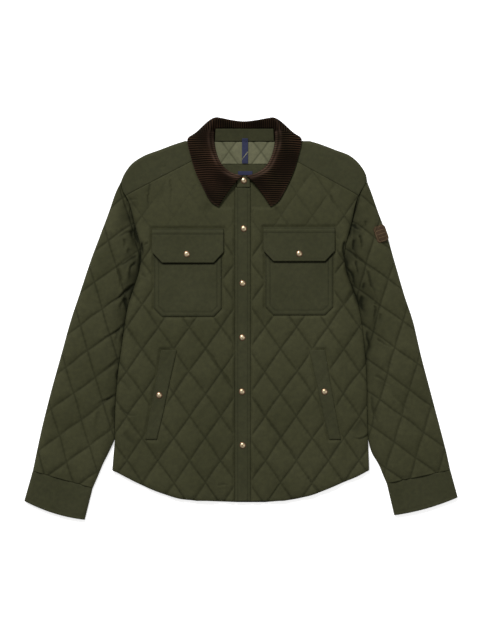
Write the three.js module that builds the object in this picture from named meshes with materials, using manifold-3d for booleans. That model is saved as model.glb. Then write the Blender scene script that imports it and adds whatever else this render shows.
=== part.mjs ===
// A diamond-quilted field jacket laid flat on its back, front up.
// Millimetres, +Z up, +Y towards the collar, +X towards the wearer's left.
// While the pieces are made, x = 0 is the line of snaps down the front.

import * as THREE from 'three';
import * as BufferGeometryUtils from 'three/addons/utils/BufferGeometryUtils.js';
import Module from 'manifold-3d';

const wasm = await Module();
wasm.setup();

// Cloth layers, counted up from the table
const SEAM_GAP = 0.3;
const BACK_THICKNESS = 4.5;
const FRONT_UNDERSIDE = BACK_THICKNESS + SEAM_GAP;
const FRONT_WALL = 3.2;
const FRONT_TOP = FRONT_UNDERSIDE + FRONT_WALL;
const POCKET_CLOTH = 1.8;
const FLAP_CLOTH = 2.2;
const BAND_CLOTH = 2.5;
const LINING_CLOTH = 1.5;
const LABEL_CLOTH = 0.9;
const CORDUROY = 2.6;

// Diamond quilting
const DIAMOND_WIDTH = 62.8;
const DIAMOND_HEIGHT = 88.8;
const DIAMOND_PUFF = 4;
const LINING_DIAMOND_PUFF = 1.2;
const STEPS_PER_HALF_DIAMOND = 2;
const SLEEVE_QUILT_TILT = THREE.MathUtils.degToRad(18.7);
const BODY_QUILT_NODE = { x: 44, y: -103 };
const SLEEVE_QUILT_NODE = { left: { x: -281, y: 22 }, right: { x: 303, y: -55 } };
const LINING_QUILT_NODE = { x: -28, y: 336 };

// How far each lattice of quilting reaches from its node
const BODY_QUILT_SPAN = {
  left: { across: [-63, 235], along: [-270, 460] },
  right: { across: [-47, 225], along: [-270, 460] },
};
const SLEEVE_QUILT_SPAN = {
  left: { across: [-100, 110], along: [-430, 330] },
  right: { across: [-100, 110], along: [-350, 410] },
};
const LINING_QUILT_SPAN = { across: [-60, 125], along: [-45, 45] };

// Rounded edges of the padded panels
const FRONT_EDGE_DROP = 1.7;
const FRONT_EDGE_WIDTH = 16;
const FRONT_EDGE_PUFF = 0.35;
const FLAT_FADE = 10;
const SLEEVE_TOP = 9.4;
const SLEEVE_EDGE = 4.6;
const SLEEVE_EDGE_START = -4;
const SLEEVE_EDGE_WIDTH = 24;
const SLEEVE_LAYER = 4;
const SLEEVE_SLIT = 0.6;
const SLEEVE_SLIT_INSET = 16;
const SLEEVE_SLIT_TOP = 130;
const CUFF_THICKNESS = 8;
const CUFF_LAYER = 3.6;
const CUFF_SLIT_INSET = 5;
const SLIT_REACH = 10;

// Cutting prisms start this far below the table and end this far above it
const CUT_REACH = 60;

// Front closure
const PLACKET = { left: -16, right: 14.6, top: 264 };
const STAND_TAB = { left: -12, right: 14, top: 288, underside: FRONT_TOP + 1.3 };
const PLACKET_MARGIN = 3;
const NECK_AXIS_X = 3;
const HEM_FRONT_Y = -361;

// Outline of the laid garment. Left and right are as seen from above.
const SHOULDER = [
  { y: 359, left: -111, right: 128 },
  { y: 352, left: -134, right: 152 },
  { y: 340, left: -166, right: 184 },
  { y: 328, left: -198, right: 214 },
  { y: 312, left: -222, right: 232 },
  { y: 292, left: -237, right: 245 },
  { y: 276, left: -244, right: 248 },
];
const ARMHOLE = [
  { y: 276, left: -244, right: 248 },
  { y: 258, left: -240, right: 236 },
  { y: 236, left: -228, right: 226 },
  { y: 190, left: -216, right: 216 },
  { y: 142, left: -204, right: 204 },
  { y: 104, left: -206, right: 205 },
  { y: 26, left: -230, right: 231 },
  { y: -50, left: -242, right: 242 },
  { y: -110, left: -250, right: 247 },
  { y: -174, left: -255, right: 248 },
  { y: -238, left: -256, right: 250 },
];
const SIDE = [
  { y: -238, left: -256, right: 250 },
  { y: -300, left: -261, right: 252 },
];
const HEM = [
  { y: -300, left: -261, right: 252 },
  { y: -312, left: -237, right: 229 },
  { y: -324, left: -214, right: 201 },
  { y: -337, left: -186, right: 170 },
  { y: -349, left: -154, right: 139 },
  { y: -357, left: -126, right: 106 },
  { y: HEM_FRONT_Y, left: -92, right: 80 },
];
const BACK_HEM = { left: -10, right: 44, drop: 3 };
const SLEEVE_OUTER = [
  { y: 276, left: -244, right: 248 },
  { y: 256, left: -254, right: 256 },
  { y: 216, left: -268, right: 270 },
  { y: 168, left: -286, right: 288 },
  { y: 120, left: -304, right: 302 },
  { y: 48, left: -328, right: 323 },
  { y: 0, left: -344, right: 339 },
  { y: -72, left: -364, right: 356 },
  { y: -144, left: -384, right: 375 },
  { y: -216, left: -402, right: 394 },
  { y: -262, left: -412, right: 406 },
];
const SLEEVE_UNDER = [
  { y: -238, left: -256, right: 250 },
  { y: -264, left: -268, right: 257 },
  { y: -288, left: -280, right: 271 },
  { y: -312, left: -290, right: 281 },
];

// Corners of the cuffs, whose open ends bow outwards
const CUFF = {
  left: {
    outerTop: [-420, -301],
    innerTop: [-300, -335],
    innerEnd: [-316, -399],
    outerEnd: [-437, -361],
    endBow: 6,
  },
  right: {
    outerTop: [414, -299],
    innerTop: [287, -326],
    innerEnd: [302, -390],
    outerEnd: [429, -354],
    endBow: 4.5,
  },
};
const CUFF_END_SHARES = [0.2, 0.4, 0.6, 0.8];

// Edge of the neck opening, from one shoulder round the front to the other
const NECK_HALF = [
  { out: 78, y: 352 },
  { out: 74, y: 340 },
  { out: 66, y: 318 },
  { out: 51, y: 296 },
  { out: 33, y: 280 },
  { out: 2, y: 272 },
];
const YOKE_SEAM = { atNeck: 334, atArmhole: 248, neckOut: 72 };

// Neck edges of the yokes and the back, hidden under the collar
const YOKE_NECK = { top: { out: 92, y: 347 }, low: { out: 75, y: 344 } };
const BACK_NECK = [[106, 344], [88, 340], [-82, 340], [-100, 344]];

// Patch pockets with pointed flaps
const CHEST_POCKET = { width: 135, height: 175, clip: 16, topUnderFlap: 6 };
const CHEST_FLAP = { width: 142.5, side: 47, height: 68, clip: 20 };
const CHEST_PLACES = [
  { name: 'right', x: -110, top: 182 },
  { name: 'left', x: 112, top: 185 },
];

// Slanted welts of the hand pockets, mirrored
const WELT = [
  { y: -60, inner: 132, outer: 163.5 },
  { y: -124, inner: 146.5, outer: 174 },
  { y: -184, inner: 159, outer: 185 },
  { y: -238, inner: 172, outer: 195 },
];

// Domed snap caps: radius and height of each step of the profile
const SNAP_PROFILE = [[0, 0], [6.3, 0], [6.3, 1], [5.5, 1.4], [3.8, 2.4], [1.9, 2.7], [0, 2.7]];
const SNAP_RADIUS = 6.3;
const SNAP_SIDES = 16;
const SNAP_SEAT_POINTS = 8;
const CLOSURE_SNAPS = [
  { x: 1.5, y: 278 },
  { x: 1.5, y: 182 },
  { x: -0.8, y: 73 },
  { x: -1.4, y: -35 },
  { x: -2, y: -143 },
  { x: -0.8, y: -250 },
];
const FLAP_SNAPS = [{ name: 'right', x: -112, y: 131 }, { name: 'left', x: 112, y: 132 }];
const WELT_SNAPS = [{ name: 'right', x: -167, y: -150 }, { name: 'left', x: 162.5, y: -143 }];

// Half of the collar, from its front tip round to the middle of the back.
// out is measured from the neck axis; edge is the free edge of the fall,
// bend is where the fall curves over, roll its fold and inside its lower inner edge.
const COLLAR_HALF = [
  { edge: [52, 226, 11.2], bend: [32, 256, 13.6], roll: [9, 283, 16.6], inside: [3, 287, 14.6] },
  { edge: [67, 236, 11.2], bend: [43, 266, 14.2], roll: [29, 288.5, 18.2], inside: [22, 291.5, 11.8] },
  { edge: [83, 264, 11.2], bend: [63, 281, 15.4], roll: [49, 301, 19.6], inside: [41.5, 305, 9.6] },
  { edge: [99, 299, 11], bend: [79, 308, 16.2], roll: [60.5, 320.5, 20.6], inside: [53, 324, 9.2] },
  { edge: [108, 330, 10.8], bend: [90, 335, 16.8], roll: [69, 343, 21.4], inside: [59.5, 346, 9.2] },
  { edge: [113, 350, 10.6], bend: [93.5, 354, 17.0], roll: [71.5, 360, 22], inside: [61, 362, 9.6] },
  { edge: [113.5, 361, 9.6], bend: [94, 366, 17.0], roll: [71, 372, 22], inside: [60.5, 371, 11.0] },
  { edge: [107, 366, 4.2], bend: [91, 376, 14.0], roll: [68, 383, 22], inside: [60, 378, 12.4] },
  { edge: [98, 352, 1.5], bend: [82, 386, 10.5], roll: [64, 395.5, 21.4], inside: [58, 382, 13.6] },
  { edge: [84, 346, 1.5], bend: [68, 395, 8.0], roll: [56, 401, 20.4], inside: [54, 382.6, 14] },
  { edge: [62, 345, 1.5], bend: [50, 396, 7.4], roll: [46, 400, 20], inside: [44, 382.6, 14] },
  { edge: [32, 344, 1.5], bend: [26, 392, 7.2], roll: [24, 396, 19.6], inside: [23, 382.6, 14] },
  { edge: [0, 344, 1.5], bend: [0, 390, 7.2], roll: [0, 393.5, 19.4], inside: [0, 382.6, 14] },
];
const COLLAR_STEPS = 12;
const COLLAR_MARGIN = 14;

// Inside of the neck
const STAND = {
  top: { out: 55, y: 381, underside: 12.6 },
  bottom: { out: 57.5, y: 356, underside: 6.6 },
  cloth: 1.8,
};
const LINING = { top: 356, bottom: 311 };
const FACING = { top: 311, bottom: 275 };
const LABEL = { left: -10, right: 19, top: 297, bottom: 289 };
const HANGER_LOOP = { left: -2, right: 10, top: 362, fold: 355, bottom: 312, cloth: 0.9 };

// Plain badge on the wearer's left sleeve
const BADGE = { x: 275, y: 172, width: 24, height: 34, cloth: 1.2, corner: 7, cornerSteps: 4 };

const COLOURS = {
  shell: { color: 0x3c3c2b, roughness: 0.78 },
  yoke: { color: 0x3c3d2e, roughness: 0.74 },
  corduroy: { color: 0x1c150e, roughness: 0.95 },
  lining: { color: 0x6b6c57, roughness: 0.9 },
  brass: { color: 0x8a6a3c, roughness: 0.38, metalness: 0.9 },
  navy: { color: 0x1d2036, roughness: 0.85 },
  badge: { color: 0x4a3524, roughness: 0.8 },
};

// Plane helpers

const vector = ([x, y]) => new THREE.Vector2(x, y);

// Points of one side of a table of outline rows, from its first row to its last
function sidePoints(rows, side) {
  return rows.map((row) => new THREE.Vector2(row[side], row.y));
}

function besideNeck(side, { out, y }) {
  return new THREE.Vector2(NECK_AXIS_X + (side === 'left' ? -out : out), y);
}

function neckPoints(side) {
  return NECK_HALF.map((row) => besideNeck(side, row));
}

// Moves every edge of a counter-clockwise outline inwards by the same distance
function inset(outline, distance) {
  const points = THREE.ShapeUtils.isClockWise(outline) ? [...outline].reverse() : outline;
  return points.map((point, i) => {
    const before = points[(i + points.length - 1) % points.length];
    const after = points[(i + 1) % points.length];
    const arriving = point.clone().sub(before).normalize();
    const leaving = after.clone().sub(point).normalize();
    const normal = new THREE.Vector2(-arriving.y - leaving.y, arriving.x + leaving.x).normalize();
    const along = normal.x * -leaving.y + normal.y * leaving.x;
    return point.clone().addScaledVector(normal, distance / Math.max(along, 0.4));
  });
}

function distanceToLine(x, y, line) {
  const point = new THREE.Vector3(x, y, 0);
  const closest = new THREE.Vector3();
  let distance = Infinity;
  for (let i = 1; i < line.length; i += 1) {
    const start = new THREE.Vector3(line[i - 1].x, line[i - 1].y, 0);
    const end = new THREE.Vector3(line[i].x, line[i].y, 0);
    new THREE.Line3(start, end).closestPointToPoint(point, true, closest);
    distance = Math.min(distance, closest.distanceTo(point));
  }
  return distance;
}

function isInside(x, y, outline) {
  let inside = false;
  outline.forEach((a, i) => {
    const b = outline[(i + 1) % outline.length];
    const crosses = a.y > y !== b.y > y && x < a.x + ((y - a.y) / (b.y - a.y)) * (b.x - a.x);
    inside = crosses ? !inside : inside;
  });
  return inside;
}

// Distance to an outline's edge, positive inside it
function depthInside(x, y, outline) {
  const distance = distanceToLine(x, y, [...outline, outline[0]]);
  return isInside(x, y, outline) ? distance : -distance;
}

// Solid helpers

function solidOf(geometry) {
  const bare = geometry.clone();
  bare.deleteAttribute('normal');
  bare.deleteAttribute('uv');
  const merged = BufferGeometryUtils.mergeVertices(bare, 1e-4);
  const mesh = new wasm.Mesh({
    numProp: 3,
    vertProperties: new Float32Array(merged.attributes.position.array),
    triVerts: new Uint32Array(merged.index.array),
  });
  return new wasm.Manifold(mesh);
}

function geometryOf(solid) {
  const mesh = solid.getMesh();
  const geometry = new THREE.BufferGeometry();
  geometry.setAttribute('position', new THREE.BufferAttribute(new Float32Array(mesh.vertProperties), 3));
  geometry.setIndex(new THREE.BufferAttribute(new Uint32Array(mesh.triVerts), 1));
  geometry.computeVertexNormals();
  return geometry;
}

// Indices of the points round the edge of a grid
function gridRim(columns, rows, at) {
  const steps = (count) => [...Array(count).keys()];
  return [
    ...steps(columns).map((i) => at(i, 0)),
    ...steps(rows).map((j) => at(columns, j)),
    ...steps(columns).map((i) => at(columns - i, rows)),
    ...steps(rows).map((j) => at(0, rows - j)),
  ];
}

function prism(outline, from, to) {
  const shape = new THREE.Shape(outline);
  const geometry = new THREE.ExtrudeGeometry(shape, { depth: to - from, bevelEnabled: false });
  return geometry.translate(0, 0, from);
}

// A closed block over a lattice of plane points, with a height for each side
function latticeBlock(lattice, lower, upper) {
  const { columns, rows, point, grooveRises } = lattice;
  const perLayer = (columns + 1) * (rows + 1);
  const positions = [];
  [lower, upper].forEach((height) => {
    for (let j = 0; j <= rows; j += 1) {
      for (let i = 0; i <= columns; i += 1) {
        const { x, y } = point(i, j);
        positions.push(x, y, height(x, y));
      }
    }
  });
  const at = (i, j) => j * (columns + 1) + i;
  const triangles = [];
  for (let j = 0; j < rows; j += 1) {
    for (let i = 0; i < columns; i += 1) {
      const [a, b, c, d] = [at(i, j), at(i + 1, j), at(i + 1, j + 1), at(i, j + 1)];
      const halves = grooveRises(i, j) ? [[a, b, c], [a, c, d]] : [[a, b, d], [b, c, d]];
      halves.forEach(([p, q, r]) => {
        triangles.push([p, r, q], [p + perLayer, q + perLayer, r + perLayer]);
      });
    }
  }
  const rim = gridRim(columns, rows, at);
  rim.forEach((p, k) => {
    const q = rim[(k + 1) % rim.length];
    triangles.push([p, q, q + perLayer], [p, q + perLayer, p + perLayer]);
  });
  const across = point(1, 0).sub(point(0, 0));
  const along = point(0, 1).sub(point(0, 0));
  const mirrored = across.cross(along) < 0;
  const geometry = new THREE.BufferGeometry();
  geometry.setAttribute('position', new THREE.Float32BufferAttribute(positions, 3));
  geometry.setIndex(triangles.flatMap(([p, q, r]) => (mirrored ? [p, r, q] : [p, q, r])));
  return geometry;
}

// A lattice block cut to a piece's outline
function clothSolid(outline, lattice, lower, upper) {
  const block = solidOf(latticeBlock(lattice, lower, upper));
  const cutter = solidOf(prism(inset(outline, SEAM_GAP / 2), -CUT_REACH, CUT_REACH));
  return block.intersect(cutter);
}

function clothPiece(outline, lattice, lower, upper) {
  return geometryOf(clothSolid(outline, lattice, lower, upper));
}

function flatPiece(outline, from, to) {
  return prism(inset(outline, SEAM_GAP / 2), from, to);
}

// Quilting: grooves run where either diagonal count is whole
function quiltPuff(across, along) {
  const rising = across / DIAMOND_WIDTH + along / DIAMOND_HEIGHT;
  const falling = across / DIAMOND_WIDTH - along / DIAMOND_HEIGHT;
  const pillow = (t) => {
    const fromGroove = 2 * Math.abs(t - Math.round(t));
    return 1 - (1 - fromGroove) ** 2;
  };
  return pillow(rising) * pillow(falling);
}

// Lattice of quarter steps whose cells are split along the grooves
function quiltLattice({ node, tilt = 0, mirror = 1, span }) {
  const stepAcross = DIAMOND_WIDTH / 2 / STEPS_PER_HALF_DIAMOND;
  const stepAlong = DIAMOND_HEIGHT / 2 / STEPS_PER_HALF_DIAMOND;
  const firstColumn = Math.floor(span.across[0] / stepAcross);
  const firstRow = Math.floor(span.along[0] / stepAlong);
  const across = new THREE.Vector2(Math.cos(tilt), Math.sin(tilt) * mirror).multiplyScalar(stepAcross);
  across.x *= mirror;
  across.y *= mirror;
  const along = new THREE.Vector2(-Math.sin(tilt) * mirror, Math.cos(tilt)).multiplyScalar(stepAlong);
  return {
    columns: Math.ceil(span.across[1] / stepAcross) - firstColumn,
    rows: Math.ceil(span.along[1] / stepAlong) - firstRow,
    point: (i, j) => new THREE.Vector2(node.x, node.y)
      .addScaledVector(across, i + firstColumn)
      .addScaledVector(along, j + firstRow),
    grooveRises: (i, j) => {
      const halfColumn = Math.floor((i + firstColumn) / STEPS_PER_HALF_DIAMOND);
      const halfRow = Math.floor((j + firstRow) / STEPS_PER_HALF_DIAMOND);
      return (halfColumn + halfRow) % 2 === 0;
    },
  };
}

// Outlines

const armholeLine = (side) => sidePoints(ARMHOLE, side);
const sideAndHem = (side) => [...sidePoints(SIDE, side).slice(1), ...sidePoints(HEM, side).slice(1)];

function yokeSeamPoints(side) {
  const atNeck = { out: YOKE_SEAM.neckOut, y: YOKE_SEAM.atNeck };
  return [armholeCrossing(side, YOKE_SEAM.atArmhole), besideNeck(side, atNeck)];
}

function armholeCrossing(side, y) {
  const line = armholeLine(side);
  const k = line.findIndex((point) => point.y < y);
  const share = (line[k - 1].y - y) / (line[k - 1].y - line[k].y);
  return line[k - 1].clone().lerp(line[k], share);
}

function yokeOutline(side) {
  const [atArmhole, atNeck] = yokeSeamPoints(side);
  return [
    besideNeck(side, YOKE_NECK.top),
    ...sidePoints(SHOULDER, side),
    ...armholeLine(side).slice(1).filter((point) => point.y > YOKE_SEAM.atArmhole),
    atArmhole,
    atNeck,
    besideNeck(side, YOKE_NECK.low),
  ];
}

function frontOutline(side, centreX) {
  const [atArmhole, atNeck] = yokeSeamPoints(side);
  const neck = neckPoints(side).filter((point) => point.y < YOKE_SEAM.atNeck);
  return [
    atArmhole,
    ...armholeLine(side).filter((point) => point.y < YOKE_SEAM.atArmhole),
    ...sideAndHem(side),
    new THREE.Vector2(centreX, HEM_FRONT_Y),
    new THREE.Vector2(centreX, NECK_HALF.at(-1).y),
    ...neck.filter((point) => (side === 'left' ? point.x < centreX : point.x > centreX)).reverse(),
    atNeck,
  ];
}

function backOutline() {
  const edge = (side) => [
    ...sidePoints(SHOULDER, side).slice(1),
    ...armholeLine(side).slice(1),
    ...sideAndHem(side),
  ];
  return [
    ...edge('left'),
    vector([BACK_HEM.left, HEM_FRONT_Y - BACK_HEM.drop]),
    vector([BACK_HEM.right, HEM_FRONT_Y - BACK_HEM.drop]),
    ...edge('right').reverse(),
    ...BACK_NECK.map(vector),
  ];
}

function sleeveOutline(side) {
  const cuff = CUFF[side];
  return [
    ...sidePoints(SLEEVE_OUTER, side),
    vector(cuff.outerTop),
    vector(cuff.innerTop),
    ...sidePoints(SLEEVE_UNDER, side).reverse(),
    ...armholeLine(side).slice(1, -1).reverse(),
  ];
}

function cuffOutline(side) {
  const { outerTop, innerTop, innerEnd, outerEnd, endBow } = CUFF[side];
  const down = vector(outerEnd).sub(vector(outerTop)).normalize();
  const bowedEnd = CUFF_END_SHARES.map((share) => {
    const drop = 4 * share * (1 - share) * endBow;
    return vector(innerEnd).lerp(vector(outerEnd), share).addScaledVector(down, drop);
  });
  return [vector(outerTop), vector(innerTop), vector(innerEnd), ...bowedEnd, vector(outerEnd)];
}

function chestPocketOutline({ x, top }) {
  const half = CHEST_POCKET.width / 2;
  const bottom = top - CHEST_POCKET.height;
  const { clip, topUnderFlap } = CHEST_POCKET;
  return [
    [x - half, top - topUnderFlap], [x - half, bottom + clip], [x - half + clip, bottom],
    [x + half - clip, bottom], [x + half, bottom + clip], [x + half, top - topUnderFlap],
  ].map(vector);
}

function chestFlapOutline({ x, top }) {
  const half = CHEST_FLAP.width / 2;
  const { side, height, clip } = CHEST_FLAP;
  return [
    [x - half, top], [x - half, top - side], [x - half + clip, top - height],
    [x + half - clip, top - height], [x + half, top - side], [x + half, top],
  ].map(vector);
}

function weltOutline(side) {
  const sign = side === 'left' ? -1 : 1;
  const inner = WELT.map((row) => new THREE.Vector2(sign * row.inner, row.y));
  const outer = WELT.map((row) => new THREE.Vector2(sign * row.outer, row.y));
  return [...inner, ...outer.reverse()];
}

function rectangle(left, right, bottom, top) {
  return [vector([left, bottom]), vector([right, bottom]), vector([right, top]), vector([left, top])];
}

// Heights of the padded panels

const FLAT_PATCHES = [
  ...CHEST_PLACES.map((place) => ({ outline: chestPocketOutline(place), puff: 0.3 })),
  ...['left', 'right'].map((side) => ({ outline: weltOutline(side), puff: 0.2 })),
  { outline: placketShadow(), puff: 0 },
  { outline: inset(collarShadow(), -COLLAR_MARGIN), puff: 0 },
];

// Strip of the fronts under the placket, from below the hem to above the tab
function placketShadow() {
  const left = PLACKET.left - PLACKET_MARGIN;
  const right = PLACKET.right + PLACKET_MARGIN;
  return rectangle(left, right, HEM_FRONT_Y - DIAMOND_HEIGHT / 2, STAND_TAB.top + FLAT_FADE);
}

// Plane outline of the collar as it lies on the fronts
function collarShadow() {
  const ends = COLLAR_HALF.filter((row) => row.edge[2] > 8);
  const right = ends.map((row) => vector([NECK_AXIS_X + row.edge[0], row.edge[1]]));
  const left = ends.map((row) => vector([NECK_AXIS_X - row.edge[0], row.edge[1]]));
  return [...right, ...left.reverse()];
}

function puffShare(x, y) {
  return FLAT_PATCHES.reduce((share, patch) => {
    const away = THREE.MathUtils.clamp(-depthInside(x, y, patch.outline) / FLAT_FADE, 0, 1);
    return Math.min(share, patch.puff + (1 - patch.puff) * away);
  }, 1);
}

const FRONT_EDGES = ['left', 'right'].map((side) => [...armholeLine(side), ...sideAndHem(side)]);

function frontTop(x, y) {
  const puff = quiltPuff(Math.abs(x) - BODY_QUILT_NODE.x, y - BODY_QUILT_NODE.y);
  const edge = FRONT_EDGES[x < 0 ? 0 : 1];
  const inwards = THREE.MathUtils.smoothstep(distanceToLine(x, y, edge), 0, FRONT_EDGE_WIDTH);
  const fullness = puffShare(x, y) * THREE.MathUtils.lerp(FRONT_EDGE_PUFF, 1, inwards);
  return FRONT_TOP + DIAMOND_PUFF * puff * fullness - FRONT_EDGE_DROP * (1 - inwards);
}

function sleeveTop(side, outline) {
  const mirror = side === 'left' ? 1 : -1;
  const node = SLEEVE_QUILT_NODE[side];
  const turn = new THREE.Vector2();
  return (x, y) => {
    turn.set((x - node.x) * mirror, y - node.y).rotateAround(new THREE.Vector2(), SLEEVE_QUILT_TILT);
    const depth = depthInside(x, y, outline);
    const inwards = THREE.MathUtils.smoothstep(depth, SLEEVE_EDGE_START, SLEEVE_EDGE_WIDTH);
    const puff = DIAMOND_PUFF * quiltPuff(turn.x, turn.y) * inwards;
    return SLEEVE_EDGE + (SLEEVE_TOP - SLEEVE_EDGE) * inwards + puff;
  };
}

const bodyLattices = {
  left: quiltLattice({
    node: { x: -BODY_QUILT_NODE.x, y: BODY_QUILT_NODE.y },
    mirror: -1,
    span: BODY_QUILT_SPAN.left,
  }),
  right: quiltLattice({ node: BODY_QUILT_NODE, span: BODY_QUILT_SPAN.right }),
};

const sleeveLattices = {
  left: quiltLattice({
    node: SLEEVE_QUILT_NODE.left,
    tilt: -SLEEVE_QUILT_TILT,
    span: SLEEVE_QUILT_SPAN.left,
  }),
  right: quiltLattice({
    node: SLEEVE_QUILT_NODE.right,
    tilt: -SLEEVE_QUILT_TILT,
    mirror: -1,
    span: SLEEVE_QUILT_SPAN.right,
  }),
};

// Pieces

function frontPanel(side) {
  const flatUnderside = () => FRONT_UNDERSIDE;
  return clothPiece(frontOutline(side, PLACKET.right), bodyLattices[side], flatUnderside, frontTop);
}

// A piece that lies on a front, made from the front's own points moved up
function onFront(outline, side, lift, cloth) {
  const lower = (x, y) => frontTop(x, y) + lift;
  const upper = (x, y) => frontTop(x, y) + lift + cloth;
  return clothPiece(outline, bodyLattices[side], lower, upper);
}

function sleeve(side) {
  const outline = sleeveOutline(side);
  const onTable = () => 0;
  const tube = clothSolid(outline, sleeveLattices[side], onTable, sleeveTop(side, outline));
  const slit = solidOf(prism(sleeveSlitOutline(side), SLEEVE_LAYER, SLEEVE_LAYER + SLEEVE_SLIT));
  return geometryOf(tube.subtract(slit));
}

// Plane outline of the space between the two layers of a sleeve, open at the cuff
function sleeveSlitOutline(side) {
  const { outerTop, innerTop, outerEnd } = CUFF[side];
  const inwards = new THREE.Vector2(side === 'left' ? SLEEVE_SLIT_INSET : -SLEEVE_SLIT_INSET, 0);
  const isLow = (point) => point.y < SLEEVE_SLIT_TOP;
  const outer = sidePoints(SLEEVE_OUTER, side).filter(isLow).map((point) => point.add(inwards));
  const inner = armholeLine(side).filter(isLow).map((point) => point.sub(inwards));
  const down = vector(outerEnd).sub(vector(outerTop)).normalize().multiplyScalar(SLIT_REACH);
  return [
    ...outer,
    vector(outerTop).add(inwards).add(down),
    vector(innerTop).sub(inwards).add(down),
    ...inner.reverse(),
  ];
}

function cuff(side) {
  const { outerTop, innerTop, innerEnd, outerEnd } = CUFF[side];
  const band = solidOf(flatPiece(cuffOutline(side), 0, CUFF_THICKNESS));
  const across = vector(innerTop).sub(vector(outerTop)).normalize().multiplyScalar(CUFF_SLIT_INSET);
  const down = vector(outerEnd).sub(vector(outerTop)).normalize().multiplyScalar(SLIT_REACH);
  const slit = [
    vector(outerTop).add(across).sub(down),
    vector(innerTop).sub(across).sub(down),
    vector(innerEnd).sub(across).add(down),
    vector(outerEnd).add(across).add(down),
  ];
  return geometryOf(band.subtract(solidOf(prism(slit, CUFF_LAYER, CUFF_LAYER + SLEEVE_SLIT))));
}

// Both halves of the collar's sections, from the left tip round to the right one
function collarSections() {
  const half = (sign) => COLLAR_HALF.map((row) => {
    const place = ([out, y, z]) => new THREE.Vector3(NECK_AXIS_X + sign * out, y, z);
    return [row.edge, row.bend, row.roll, row.inside].map(place);
  });
  return [...half(-1), ...half(1).slice(0, -1).reverse()];
}

function collar() {
  const middles = collarSections().map((points) => {
    return new THREE.CatmullRomCurve3(points, false, 'centripetal').getSpacedPoints(COLLAR_STEPS);
  });
  const last = middles.length - 1;
  const sides = [1, -1].map((sign) => middles.map((section, i) => section.map((point, j) => {
    const along = middles[Math.min(i + 1, last)][j].clone().sub(middles[Math.max(i - 1, 0)][j]);
    const across = section[Math.min(j + 1, COLLAR_STEPS)].clone().sub(section[Math.max(j - 1, 0)]);
    const outwards = across.cross(along).normalize();
    return point.clone().addScaledVector(outwards, (sign * CORDUROY) / 2);
  })));
  return shellBetween(sides[0], sides[1]);
}

// A closed wall between two grids of points of the same size
function shellBetween(outer, inner) {
  const rows = outer.length;
  const columns = outer[0].length;
  const positions = [...outer.flat(), ...inner.flat()].flatMap((point) => point.toArray());
  const at = (i, j) => i * columns + j;
  const offset = rows * columns;
  const index = [];
  for (let i = 0; i < rows - 1; i += 1) {
    for (let j = 0; j < columns - 1; j += 1) {
      const [a, b, c, d] = [at(i, j), at(i + 1, j), at(i + 1, j + 1), at(i, j + 1)];
      index.push(a, c, b, a, d, c);
      index.push(a + offset, b + offset, c + offset, a + offset, c + offset, d + offset);
    }
  }
  const rim = gridRim(rows - 1, columns - 1, at);
  rim.forEach((p, k) => {
    const q = rim[(k + 1) % rim.length];
    index.push(p, q, q + offset, p, q + offset, p + offset);
  });
  const geometry = new THREE.BufferGeometry();
  geometry.setAttribute('position', new THREE.Float32BufferAttribute(positions, 3));
  geometry.setIndex(index);
  geometry.computeVertexNormals();
  return geometry;
}

// A band that follows a line of heights along y, with straight sides
function slopingBand(stations, cloth) {
  const level = (lift) => stations.map(({ left, right, y, z }) => [
    new THREE.Vector3(right, y, z + lift), new THREE.Vector3(left, y, z + lift),
  ]);
  return shellBetween(level(cloth), level(0));
}

function collarStand() {
  const station = ({ out, y, underside }, lift) => ({
    left: NECK_AXIS_X - out,
    right: NECK_AXIS_X + out,
    y: y + lift,
    z: underside,
  });
  return slopingBand([station(STAND.top, 0), station(STAND.bottom, SEAM_GAP)], STAND.cloth);
}

function hangerLoop() {
  const { left, right, top, fold, bottom, cloth } = HANGER_LOOP;
  const onStand = STAND.bottom.underside + STAND.cloth;
  const onLining = FRONT_UNDERSIDE + LINING_CLOTH + LINING_DIAMOND_PUFF;
  const slope = (STAND.top.underside - STAND.bottom.underside) / (STAND.top.y - STAND.bottom.y);
  return slopingBand([
    { left, right, y: top, z: onStand + slope * (top - STAND.bottom.y) + 2 * SEAM_GAP },
    { left, right, y: fold, z: onStand + SEAM_GAP },
    { left, right, y: bottom, z: onLining + SEAM_GAP },
  ], cloth);
}

// The piece of neck opening between two heights of the outline
function neckOutline(from, to) {
  const halfWidth = (y) => {
    const k = Math.max(1, NECK_HALF.findIndex((row) => row.y <= y));
    const [above, below] = [NECK_HALF[k - 1], NECK_HALF[k]];
    return below.out + ((above.out - below.out) * (y - below.y)) / (above.y - below.y);
  };
  const heights = [from, ...NECK_HALF.map((row) => row.y).filter((y) => y < from && y > to), to];
  const edge = (sign) => heights.map((y) => {
    return new THREE.Vector2(NECK_AXIS_X + sign * Math.min(halfWidth(y), NECK_HALF[0].out), y);
  });
  return [...edge(-1), ...edge(1).reverse()];
}

function neckLining() {
  const lattice = quiltLattice({ node: LINING_QUILT_NODE, span: LINING_QUILT_SPAN });
  const lower = () => FRONT_UNDERSIDE;
  const upper = (x, y) => {
    const puff = quiltPuff(x - LINING_QUILT_NODE.x, y - LINING_QUILT_NODE.y);
    return FRONT_UNDERSIDE + LINING_CLOTH + LINING_DIAMOND_PUFF * puff;
  };
  return clothPiece(neckOutline(LINING.top, LINING.bottom), lattice, lower, upper);
}

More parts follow.
